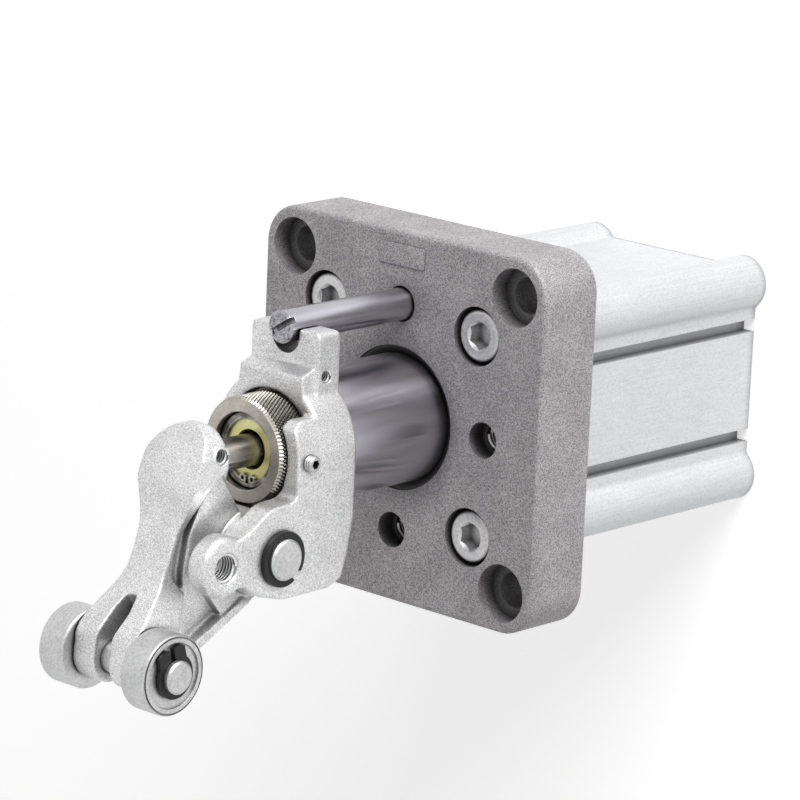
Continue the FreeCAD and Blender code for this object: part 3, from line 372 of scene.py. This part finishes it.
def tapped(name, shade):
    """A cut thread: clean metal on the ridges and painted shadow in the valleys."""
    material, tree, shader = new_finish(name)
    shader.inputs["Metallic"].default_value = 0.9
    shader.inputs["Roughness"].default_value = 0.35
    cloud = speckle(tree, place_on_piece(tree), size=0.8)
    colour = between(tree, cloud, tuple(0.85 * part for part in shade), shade)
    # Painted shadow: the colour is darkened in the valleys between the ridges
    colour = times(tree, colour, painted_crevice_shade(tree, reach=1.2, dark=0.02, span=(0.3, 0.8)))
    tree.links.new(colour, shader.inputs["Base Color"])
    return material


# The finish of each slot in the record

# shut, dark and span set the reach, depth and spread of each finish's painted shade
finishes = {
    "bright_cast": blasted(
        "bright_casting", (0.84, 0.835, 0.845), (0.96, 0.96, 0.96), rough=(0.34, 0.48),
        grain=0.3, dark_grain=0.6, depth=0.045, metallic=0.8, edge=0.2, shut=6.0),
    "flange_cast": blasted(
        "grey_casting", (0.49, 0.47, 0.483), (0.585, 0.565, 0.576), rough=(0.5, 0.66),
        grain=0.32, dark_grain=0.45, depth=0.055, metallic=0.25, edge=0.15, shut=9.0,
        span=(0.35, 0.97)),
    "tube_anodised": drawn(
        "silver_extrusion", (0.765, 0.77, 0.785), (0.80, 0.805, 0.82), rough=(0.38, 0.48),
        stretch=ALONG_Z, size=0.25, depth=0.008, metallic=0.45, edge=0.3, shut=4.0, dark=0.25),
    "hard_chrome": polished(
        "hard_chrome", (0.44, 0.43, 0.47), (0.53, 0.52, 0.565), rough=(0.2, 0.25),
        end_shade=0.4, shut=3.0),
    "zinc_steel": drawn(
        "zinc_plate", (0.58, 0.58, 0.59), (0.70, 0.70, 0.70), rough=(0.34, 0.5),
        stretch=ROUND_X, size=0.25, depth=0.015, metallic=0.9, edge=0.25, shut=2.5, dark=0.15,
        flecks=0.82),
    "dial_steel": drawn(
        "dull_nickel", (0.45, 0.42, 0.375), (0.61, 0.58, 0.525), rough=(0.34, 0.44),
        stretch=ROUND_Z, size=0.25, depth=0.008, edge=0.05, shut=0.8, dark=0.03, flecks=0.85,
        span=(0.45, 0.95)),
    "absorber_steel": polished(
        "dark_ground_steel", (0.17, 0.155, 0.145), (0.56, 0.53, 0.505), rough=(0.22, 0.3),
        end_shade=0.6, shut=1.5),
    "spring_steel": drawn(
        "spring_wire", (0.20, 0.20, 0.20), (0.30, 0.30, 0.30), rough=(0.3, 0.45),
        stretch=ROUND_Z, size=0.3, depth=0.01),
    "machined_aluminium": drawn(
        "turned_aluminium", (0.70, 0.70, 0.71), (0.80, 0.80, 0.81), rough=(0.28, 0.42),
        stretch=ROUND_Z, size=0.25, depth=0.01),
    "bronze": drawn(
        "sintered_bronze", (0.42, 0.27, 0.12), (0.52, 0.36, 0.18), rough=(0.35, 0.5),
        stretch=ROUND_Z, size=0.3, depth=0.01),
    "yellow_zinc": drawn(
        "yellow_chromate", (0.76, 0.70, 0.24), (0.97, 0.94, 0.52), rough=(0.34, 0.5),
        stretch=EVEN, size=0.8, depth=0.02, metallic=0.7, shut=1.0),
    "black_steel": moulded(
        "black_oxide", (0.006, 0.006, 0.007), (0.02, 0.02, 0.021), rough=(0.25, 0.4),
        grain=0.4, depth=0.01, gloss=0.3),
    "seal_rubber": moulded(
        "black_rubber", (0.008, 0.008, 0.008), (0.02, 0.02, 0.02), rough=(0.45, 0.6),
        grain=0.5, depth=0.02),
    "bumper_urethane": moulded(
        "amber_urethane", (0.36, 0.20, 0.06), (0.46, 0.28, 0.10), rough=(0.3, 0.45),
        grain=1.0, depth=0.02),
    "wear_resin": moulded(
        "bearing_resin", (0.42, 0.37, 0.28), (0.50, 0.45, 0.35), rough=(0.4, 0.55),
        grain=0.6, depth=0.02),
    "magnet_ferrite": moulded(
        "bonded_ferrite", (0.04, 0.04, 0.045), (0.07, 0.07, 0.075), rough=(0.5, 0.65),
        grain=0.6, depth=0.02),
}

# The finish of a thread in a part of each slot

tapped_finishes = {
    "bright_cast": tapped("cut_thread", (0.92, 0.92, 0.92)),
    "tube_anodised": tapped("cut_port_thread", (0.8, 0.8, 0.82)),
    "flange_cast": tapped("cut_flange_thread", (0.46, 0.44, 0.45)),
}


def finish_nodes():
    """The finish of each CAD node, from its slot in the record."""
    for part in frame["record"]["subparts"]:
        obj = frame["nodes"][part["node"]]
        obj.data.materials.clear()
        obj.data.materials.append(finishes[part["material_slot"]])


# Sizes read from the frame, in millimetres

def low_corner(node):
    """The corner of a node's box where x, y and z are least."""
    return Vector(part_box(node)[0]) / MM


def high_corner(node):
    """The corner of a node's box where x, y and z are greatest."""
    return Vector(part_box(node)[1]) / MM


def pin_radius(node):
    """Radius of a node that is round about an axis along X."""
    return (high_corner(node).z - low_corner(node).z) / 2


def mount(name):
    """Place, axis, radius and length of one of the record's round mounts."""
    entry = next(entry for entry in frame["record"]["mounts"] if entry["name"] == name)
    dims = entry["dims"]
    return Vector(entry["pos_m"]) / MM, Vector(entry["axis"]), dims["r_mm"], dims["length_mm"]


def joint_place(name):
    """A point on the axis of one of the record's joints."""
    joints = frame["record"]["behaviour"]["joints"]
    return Vector(next(joint["pos_m"] for joint in joints if joint["name"] == name)) / MM


def lobe_places(z):
    """The centres of the tube's four lobes at a height."""
    half = LOBE_PITCH / 2
    return [Vector((x * half, y * half, z)) for x in (-1, 1) for y in (-1, 1)]


# Making of pieces

def as_object(name, bm):
    """An object made from a bmesh in metres, which is used up."""
    mesh = bpy.data.meshes.new(name)
    bm.to_mesh(mesh)
    bm.free()
    obj = bpy.data.objects.new(name, mesh)
    bpy.context.scene.collection.objects.link(obj)
    return obj


def dress(obj, body, slot, crease=CREASE, finish=None):
    """Shading, finish and body of a new piece, whose finish is its slot's unless one is given."""
    obj.data.shade_smooth()
    obj.data.set_sharp_from_angle(angle=crease)
    obj.data.materials.clear()
    obj.data.materials.append(finish or finishes[slot])
    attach(obj, body)
    return obj


def bake(obj):
    """Apply an object's modifiers to its mesh."""
    graph = bpy.context.evaluated_depsgraph_get()
    baked = bpy.data.meshes.new_from_object(obj.evaluated_get(graph))
    obj.modifiers.clear()
    obj.data = baked


def join(bm, other):
    """Add one bmesh to another. The one that is added is used up."""
    mesh = bpy.data.meshes.new("join")
    other.to_mesh(mesh)
    other.free()
    bm.from_mesh(mesh)
    bpy.data.meshes.remove(mesh)


def bar(bm, radius, start, end, segments=64):
    """A round bar between two points."""
    start = Vector(start) * MM
    along = Vector(end) * MM - start
    turn = along.to_track_quat("Z", "Y").to_matrix().to_4x4()
    place = Matrix.Translation(start + along / 2) @ turn
    bmesh.ops.create_cone(bm, cap_ends=True, segments=segments, radius1=radius * MM,
                          radius2=radius * MM, depth=along.length, matrix=place)


def turned(profile, centre, axis, steps=96):
    """A turned solid: (height, radius) pairs spun about an axis through a centre."""
    bm = bmesh.new()
    out = axis.orthogonal().normalized()
    verts = [bm.verts.new((centre + axis * height + out * radius) * MM)
             for height, radius in profile]
    edges = [bm.edges.new(pair) for pair in zip(verts, verts[1:])]
    if profile[0][1] > 0:
        edges.append(bm.edges.new((verts[-1], verts[0])))
    bmesh.ops.spin(bm, geom=verts + edges, cent=centre * MM, axis=axis, angle=2 * math.pi,
                   steps=steps, use_merge=True)
    bmesh.ops.remove_doubles(bm, verts=bm.verts, dist=WELD * MM)
    bmesh.ops.recalc_face_normals(bm, faces=bm.faces)
    return bm


def drill(radius, mouth, axis, depth, lip=LIP):
    """A cutter for a blind hole with a countersunk lip at its mouth."""
    profile = [(-depth, 0), (-depth, radius), (-lip, radius),
               (OVERSHOOT, radius + lip + OVERSHOOT), (OVERSHOOT, 0)]
    return turned(profile, mouth, axis, steps=64)


def drill_for(name, deeper=0.0, lip=LIP):
    """A cutter for the hole of one of the record's round mounts."""
    place, axis, radius, length = mount(name)
    return drill(radius, place, axis, length + deeper, lip)


def way_through(radius, y, z, left, right):
    """A cutter for a hole along X from one side to the other."""
    bm = bmesh.new()
    bar(bm, radius, (left, y, z), (right, y, z), segments=96)
    return bm


def socket(across, place, axis, depth):
    """A cutter for a hexagonal socket, by the width across its flats."""
    bm = bmesh.new()
    corner = across / math.sqrt(3) * MM
    turn = axis.to_track_quat("Z", "Y").to_matrix().to_4x4()
    middle = Matrix.Translation((place - axis * (depth - SOCKET_OVERSHOOT) / 2) * MM) @ turn
    bmesh.ops.create_cone(bm, cap_ends=True, segments=6, radius1=corner, radius2=corner,
                          depth=(depth + SOCKET_OVERSHOOT) * MM, matrix=middle)
    return bm


def cut(obj, cutters):
    """Take each cutter out of an object."""
    for cutter in cutters:
        tool = as_object("cutter", cutter)
        modifier = obj.modifiers.new("cut", "BOOLEAN")
        modifier.operation = "DIFFERENCE"
        modifier.solver = "MANIFOLD"
        modifier.object = tool
        bake(obj)
        bpy.data.objects.remove(tool)


def cad_copy(node):
    """A closed copy of a CAD node's mesh."""
    bm = bmesh.new()
    bm.from_mesh(frame["nodes"][node].data)
    bmesh.ops.remove_doubles(bm, verts=bm.verts, dist=CAD_WELD * MM)
    return bm


def casting(node, body, slot, plugs, cutters):
    """The CAD shape with its small holes plugged, softened as a casting is, then drilled again."""
    bm = cad_copy(node)
    for radius, start, end in plugs:
        bar(bm, radius, start, end)
    obj = as_object(node + "_casting", bm)
    cells = obj.modifiers.new("cells", "REMESH")
    cells.mode = "VOXEL"
    cells.voxel_size = CAST_CELL * MM
    bake(obj)
    bm = bmesh.new()
    bm.from_mesh(obj.data)
    for _ in range(CAST_ROUNDS):
        bmesh.ops.smooth_vert(bm, verts=bm.verts, factor=0.5, use_axis_x=True, use_axis_y=True,
                              use_axis_z=True)
    bm.to_mesh(obj.data)
    bm.free()
    cut(obj, cutters)
    dress(obj, body, slot)
    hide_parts(node)


def thread(mouth, axis, radius, length, pitch, depth):
    """One ridge wound along the wall of a hole, inwards from its mouth."""
    bm = bmesh.new()
    out = -Z_AXIS if abs(axis.z) < 0.5 else -X_AXIS
    turns = (length - THREAD_FREE * pitch) / pitch
    start = mouth - axis * THREAD_START * pitch
    foot, flank, crest = THREAD_WIDTHS
    half = [(radius + THREAD_BITE, foot), (radius - THREAD_FOOT, foot),
            (radius - THREAD_FOOT, flank), (radius - depth, crest)]
    corners = half + [(reach, -along) for reach, along in reversed(half)]
    verts = [bm.verts.new((start + out * reach + axis * pitch * along) * MM)
             for reach, along in corners]
    face = bm.faces.new(verts)
    bmesh.ops.spin(bm, geom=[face] + face.edges[:] + verts, cent=mouth * MM, axis=axis,
                   dvec=axis * (-pitch * MM / THREAD_STEPS), angle=2 * math.pi * turns,
                   steps=int(turns * THREAD_STEPS))
    ends = [edge for edge in bm.edges if edge.is_boundary]
    bmesh.ops.holes_fill(bm, edges=ends, sides=len(corners))
    return bm


def threads(name, body, slot, holes):
    """The threads of some holes as one piece: (mouth, axis, radius, length, pitch, depth) each."""
    bm = bmesh.new()
    for hole in holes:
        join(bm, thread(*hole))
    bmesh.ops.recalc_face_normals(bm, faces=bm.faces)
    dress(as_object(name, bm), body, slot, finish=tapped_finishes[slot])


# Pieces

def lever_casting():
    """The cast lever, with the bush's hole, the roller pin's and the tapped one through it."""
    pivot = joint_place("lever_pivot")
    roller = joint_place("roller_right_spin")
    hub = high_corner("lever_bush").x
    arm = high_corner("lever").x - FORK_PLUG_SHY
    bush_hole = pin_radius("lever_bush") + HOLE_PLAY
    pin_hole = pin_radius("roller_pin") + HOLE_PLAY
    place, _, radius, length = mount("lever_hole")
    plugs = [
        (bush_hole + PLUG_BITE, (-hub, pivot.y, pivot.z), (hub, pivot.y, pivot.z)),
        (radius + PLUG_BITE, (place.x - length, place.y, place.z), place),
        (pin_hole + PLUG_BITE, (FORK_PLUG_START, roller.y, roller.z), (arm, roller.y, roller.z)),
        (pin_hole + PLUG_BITE, (-arm, roller.y, roller.z), (-FORK_PLUG_START, roller.y, roller.z)),
    ]
    mouths = drill(radius, place, X_AXIS, MOUTH_DEPTH)
    join(mouths, drill(radius, place - X_AXIS * length, -X_AXIS, MOUTH_DEPTH))
    casting("lever", "lever", "bright_cast", plugs, [
        way_through(bush_hole, pivot.y, pivot.z, -LEVER_DRILL, LEVER_DRILL),
        way_through(pin_hole, roller.y, roller.z, -LEVER_DRILL, LEVER_DRILL),
        way_through(radius, place.y, place.z, -LEVER_HOLE_DRILL, LEVER_HOLE_DRILL),
        mouths,
    ])


def holder_casting():
    """The cast holder, with holes for lever pin and set screw and tapped ones in ear and tab."""
    pivot = joint_place("lever_pivot")
    side = high_corner("lever_holder").x
    pin_hole = pin_radius("lever_pin") + HOLE_PLAY
    screw_hole = pin_radius("dial_set_screw") + HOLE_PLAY
    screw_z = (high_corner("dial_set_screw").z + low_corner("dial_set_screw").z) / 2
    boss, _, boss_r, boss_length = mount("ear_hole")
    tab, _, tab_r, tab_length = mount("tab_hole")
    ear = side - boss_length
    plugs = [
        (pin_hole + PLUG_BITE, (ear, pivot.y, pivot.z), (side, pivot.y, pivot.z)),
        (pin_hole + PLUG_BITE, (-side, pivot.y, pivot.z), (-ear, pivot.y, pivot.z)),
        (boss_r + PLUG_BITE, boss - X_AXIS * boss_length, boss),
        (tab_r + PLUG_BITE, tab - X_AXIS * tab_length, tab),
        (screw_hole + PLUG_BITE, (side - SCREW_PLUG_LENGTH, 0, screw_z), (side, 0, screw_z)),
    ]
    casting("lever_holder", "rod", "bright_cast", plugs, [
        way_through(pin_hole, pivot.y, pivot.z, -HOLDER_DRILL, HOLDER_DRILL),
        way_through(screw_hole, 0, screw_z, SCREW_DRILL_START, HOLDER_DRILL),
        drill_for("ear_hole", EAR_HOLE_DEEPER, EAR_HOLE_LIP),
        drill_for("tab_hole"),
    ])


def tapped_holes():
    """Threads of the mounts' holes, of the holes under the guide seats and of the tube's end."""
    for name, (body, slot, pitch, depth) in THREADS.items():
        threads(name + "_thread", body, slot, [(*mount(name), pitch, depth)])
    right, _, _, seat_depth = mount("guide_seat_right")
    seat_floor = right.z - seat_depth - SEAT_LEAD
    seats = [Vector((x, y, seat_floor)) for x, y in ((right.x, 0), (-right.x, 0), (0, -right.x))]
    threads("guide_seat_threads", "barrel", "flange_cast",
            [(seat, Z_AXIS, *SEAT_THREAD) for seat in seats])
    threads("tube_end_threads", "barrel", "tube_anodised",
            [(lobe, -Z_AXIS, *LOBE_THREAD) for lobe in lobe_places(low_corner("cylinder_tube").z)])


def diamond_knurl(bm, rows, rise):
    """Raise and sink the points of a turned dial's rows by turns, and fold faces in the valleys."""
    step = math.pi / KNURL_TEETH
    valleys = set()
    for vert in bm.verts:
        row = round((vert.co.z / MM - rows[0][0]) / rise)
        reach = vert.co.xy.length / MM
        if not 0 <= row <= KNURL_ROWS or abs(vert.co.z / MM - rows[row][0]) > KNURL_MATCH:
            continue
        if abs(reach - rows[row][1] + KNURL_DEPTH / 2) < KNURL_MATCH:
            column = round(math.atan2(vert.co.y, vert.co.x) / step)
            raised = (column + row) % 2 or row == KNURL_ROWS
            vert.co.xy *= (rows[row][1] if raised else rows[row][1] - KNURL_DEPTH) / reach
            if not raised:
                valleys.add(vert)
    for face in list(bm.faces):
        pair = [vert for vert in face.verts if vert in valleys]
        if len(pair) == 2 and not bm.edges.get(pair):
            bmesh.utils.face_split(face, *pair)


def knurled_dial():
    """The dial: a flat front rim whose bevel and side carry a diamond knurl, and a plain foot."""
    bottom, top = low_corner("adjusting_dial").z, high_corner("adjusting_dial").z
    radius = high_corner("adjusting_dial").x
    knurl_low = bottom + DIAL_FOOT_HEIGHT
    rise = (top - KNURL_FRONT_GAP - knurl_low) / KNURL_ROWS
    heights = [knurl_low + rise * row for row in range(KNURL_ROWS + 1)]
    rows = [(z, radius - max(0, z - top + DIAL_BEVEL)) for z in heights]
    profile = [(bottom, DIAL_BORE_R), (bottom, radius - DIAL_FOOT_BACK),
               (knurl_low - KNURL_FOOT_GAP, radius - DIAL_NECK_BACK)]
    profile += [(z, reach - KNURL_DEPTH / 2) for z, reach in rows]
    profile += [(top, radius - DIAL_BEVEL), (top, DIAL_MOUTH_R + DIAL_MOUTH_EDGE),
                (top - DIAL_MOUTH_EDGE, DIAL_MOUTH_R), (top - DIAL_MOUTH_DEPTH, DIAL_MOUTH_R),
                (top - DIAL_MOUTH_DEPTH, DIAL_BORE_R)]
    bm = turned(profile, ORIGIN, Z_AXIS, steps=2 * KNURL_TEETH)
    diamond_knurl(bm, rows, rise)
    obj = dress(as_object("knurled_dial", bm), "dial", "dial_steel", DIAL_CREASE)
    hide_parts("adjusting_dial")


def cover_screws():
    """Four socket-head screws with knurled heads."""
    tip, top = low_corner("cover_screws").z, high_corner("cover_screws").z
    half = LOBE_PITCH / 2
    head_r = high_corner("cover_screws").x - half
    head_low = top - HEAD_HEIGHT
    profile = [(tip, 0), (tip, SCREW_R - SCREW_TIP), (tip + SCREW_TIP, SCREW_R),
               (head_low, SCREW_R), (head_low, head_r - HEAD_UNDER_BACK),
               (head_low + HEAD_UNDER_RISE, head_r)]
    profile += [(top - drop, head_r - back) for drop, back in HEAD_EDGE]
    profile.append((top, 0))
    bm = bmesh.new()
    for place in lobe_places(0):
        join(bm, turned(profile, place, Z_AXIS, steps=2 * HEAD_TEETH))
    for vert in bm.verts:
        place = Vector((math.copysign(half, vert.co.x), math.copysign(half, vert.co.y)))
        spoke = vert.co.xy / MM - place
        column = round(math.atan2(spoke.y, spoke.x) * HEAD_TEETH / math.pi)
        if spoke.length > head_r - HEAD_TEETH_MATCH and column % 2:
            vert.co.xy = (place + spoke * (1 - HEAD_TEETH_DEPTH / head_r)) * MM
    obj = as_object("socket_head_screws", bm)
    lip = HEX_ACROSS / math.sqrt(3) + HEX_LIP
    for mouth in lobe_places(top):
        cone = turned([(-lip, 0), (HEX_LIP_OUT, lip + HEX_LIP_OUT), (HEX_LIP_OUT, 0)],
                      mouth, Z_AXIS, steps=48)
        cut(obj, [socket(HEX_ACROSS, mouth, Z_AXIS, HEX_DEPTH), cone])
    dress(obj, "barrel", "zinc_steel")
    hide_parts("cover_screws")


def set_screw():
    """The dial's grub screw: turned ridges, a bevelled end and a hexagonal socket."""
    first, last = low_corner("dial_set_screw"), high_corner("dial_set_screw")
    inner, outer = first.x, last.x
    centre = (first + last) / 2
    radius = pin_radius("dial_set_screw")
    profile = [(inner, 0), (inner, radius - GRUB_POINT)]
    at = inner + GRUB_POINT
    while at + GRUB_PITCH < outer - GRUB_PLAIN:
        profile += [(at, radius), (at + GRUB_PITCH * 0.5, radius - GRUB_RIDGE)]
        at += GRUB_PITCH
    profile.append((at, radius))
    profile += [(outer - drop, radius - back) for drop, back in GRUB_EDGE]
    profile.append((outer, 0))
    axis_at = Vector((0, centre.y, centre.z))
    obj = as_object("grub_screw", turned(profile, axis_at, X_AXIS, steps=48))
    mouth = Vector((outer, centre.y, centre.z))
    cut(obj, [socket(GRUB_ACROSS, mouth, X_AXIS, GRUB_SOCKET)])
    dress(obj, "rod", "zinc_steel")
    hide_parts("dial_set_screw")


def bare_panel():
    """The low raised panel on the flange's face, left bare."""
    top = high_corner("rod_cover").z
    width, height, rise = PANEL_SIZE
    bm = bmesh.new()
    size = Matrix.Diagonal((width * MM, height * MM, (rise + PANEL_SUNK) * MM, 1))
    place = Matrix.Translation(Vector((*PANEL_PLACE, top + (rise - PANEL_SUNK) / 2)) * MM)
    bmesh.ops.create_cube(bm, size=1, matrix=place @ size)
    upright = [edge for edge in bm.edges
               if abs(edge.verts[0].co.z - edge.verts[1].co.z) > 0.1 * MM]
    bmesh.ops.bevel(bm, geom=upright, offset=PANEL_CORNER * MM, segments=5, profile=0.5,
                    material=-1, affect="EDGES")
    level = (top + rise) * MM - 1e-7
    rim = [edge for edge in bm.edges if all(vert.co.z > level for vert in edge.verts)]
    bmesh.ops.bevel(bm, geom=rim, offset=PANEL_EDGE * MM, segments=3, profile=0.5,
                    material=-1, affect="EDGES")
    dress(as_object("bare_panel", bm), "barrel", "flange_cast", PANEL_CREASE)


# Studio and camera

def seen_directly(tree):
    """1 for what the camera, a gloss or a glass sees, 0 for light that falls on surfaces."""
    path = add(tree, "ShaderNodeLightPath")
    either = add(tree, "ShaderNodeMath", {"operation": "MAXIMUM"})
    tree.links.new(path.outputs["Is Camera Ray"], either.inputs[0])
    tree.links.new(path.outputs["Is Glossy Ray"], either.inputs[1])
    every = add(tree, "ShaderNodeMath", {"operation": "MAXIMUM"})
    tree.links.new(either.outputs["Value"], every.inputs[0])
    tree.links.new(path.outputs["Is Transmission Ray"], every.inputs[1])
    return every.outputs["Value"]


def floor():
    """A pale floor under the tube, white to the camera and in reflections, with its shadow kept."""
    bpy.ops.mesh.primitive_plane_add(size=FLOOR_WIDTH,
                                     location=(0, 0, cad_box[0][2] - FLOOR_GAP * MM))
    plane = bpy.context.object
    plane.name = "floor"
    material, tree, shader = new_finish("pale_floor")
    shader.inputs["Base Color"].default_value = FLOOR_SHADE
    shader.inputs["Roughness"].default_value = FLOOR_ROUGHNESS
    shader.inputs["Specular IOR Level"].default_value = 0.0
    shader.inputs["Emission Color"].default_value = (1, 1, 1, 1)
    lift = add(tree, "ShaderNodeMath", {"operation": "MULTIPLY"})
    lift.inputs[1].default_value = FLOOR_LIFT
    tree.links.new(seen_directly(tree), lift.inputs[0])
    tree.links.new(lift.outputs["Value"], shader.inputs["Emission Strength"])
    plane.data.materials.append(material)


def surround():
    """A white world, dimmer as fill light than it is seen."""
    world = bpy.data.worlds.new("studio")
    bpy.context.scene.world = world
    world.use_nodes = True
    tree = world.node_tree
    background = tree.nodes["Background"]
    level = add(tree, "ShaderNodeMix", {"data_type": "FLOAT"}, A=FILL_LEVEL, B=1.0)
    tree.links.new(seen_directly(tree), level.inputs["Factor"])
    tree.links.new(level.outputs["Result"], background.inputs["Strength"])
    background.inputs["Color"].default_value = (1, 1, 1, 1)


def lamp():
    """One wide, soft lamp at the side of the guide rod and the set screw."""
    data = bpy.data.lights.new("key_lamp", "AREA")
    data.shape = "DISK"
    data.size = LAMP_WIDTH
    data.energy = LAMP_LEVEL * (math.pi * LAMP_DISTANCE) ** 2
    obj = bpy.data.objects.new("key_lamp", data)
    obj.location = LAMP_WAY.normalized() * LAMP_DISTANCE
    obj.rotation_euler = LAMP_WAY.to_track_quat("Z", "Y").to_euler()
    bpy.context.scene.collection.objects.link(obj)


def camera():
    """The photograph's camera."""
    data = bpy.data.cameras.new("photo_camera")
    data.lens = CAMERA_LENS
    data.sensor_width = CAMERA_SENSOR
    obj = bpy.data.objects.new("photo_camera", data)
    back = (CAMERA_PLACE - CAMERA_AIM).normalized()
    right = CAMERA_UP.cross(back).normalized()
    turn = Matrix((right, back.cross(right), back)).transposed().to_4x4()
    obj.matrix_world = Matrix.Translation(CAMERA_PLACE) @ turn
    bpy.context.scene.collection.objects.link(obj)
    bpy.context.scene.camera = obj


finish_nodes()
lever_casting()
holder_casting()
tapped_holes()
knurled_dial()
cover_screws()
set_screw()
bare_panel()
floor()
surround()
lamp()
camera()
bpy.context.scene.view_settings.view_transform = "Standard"
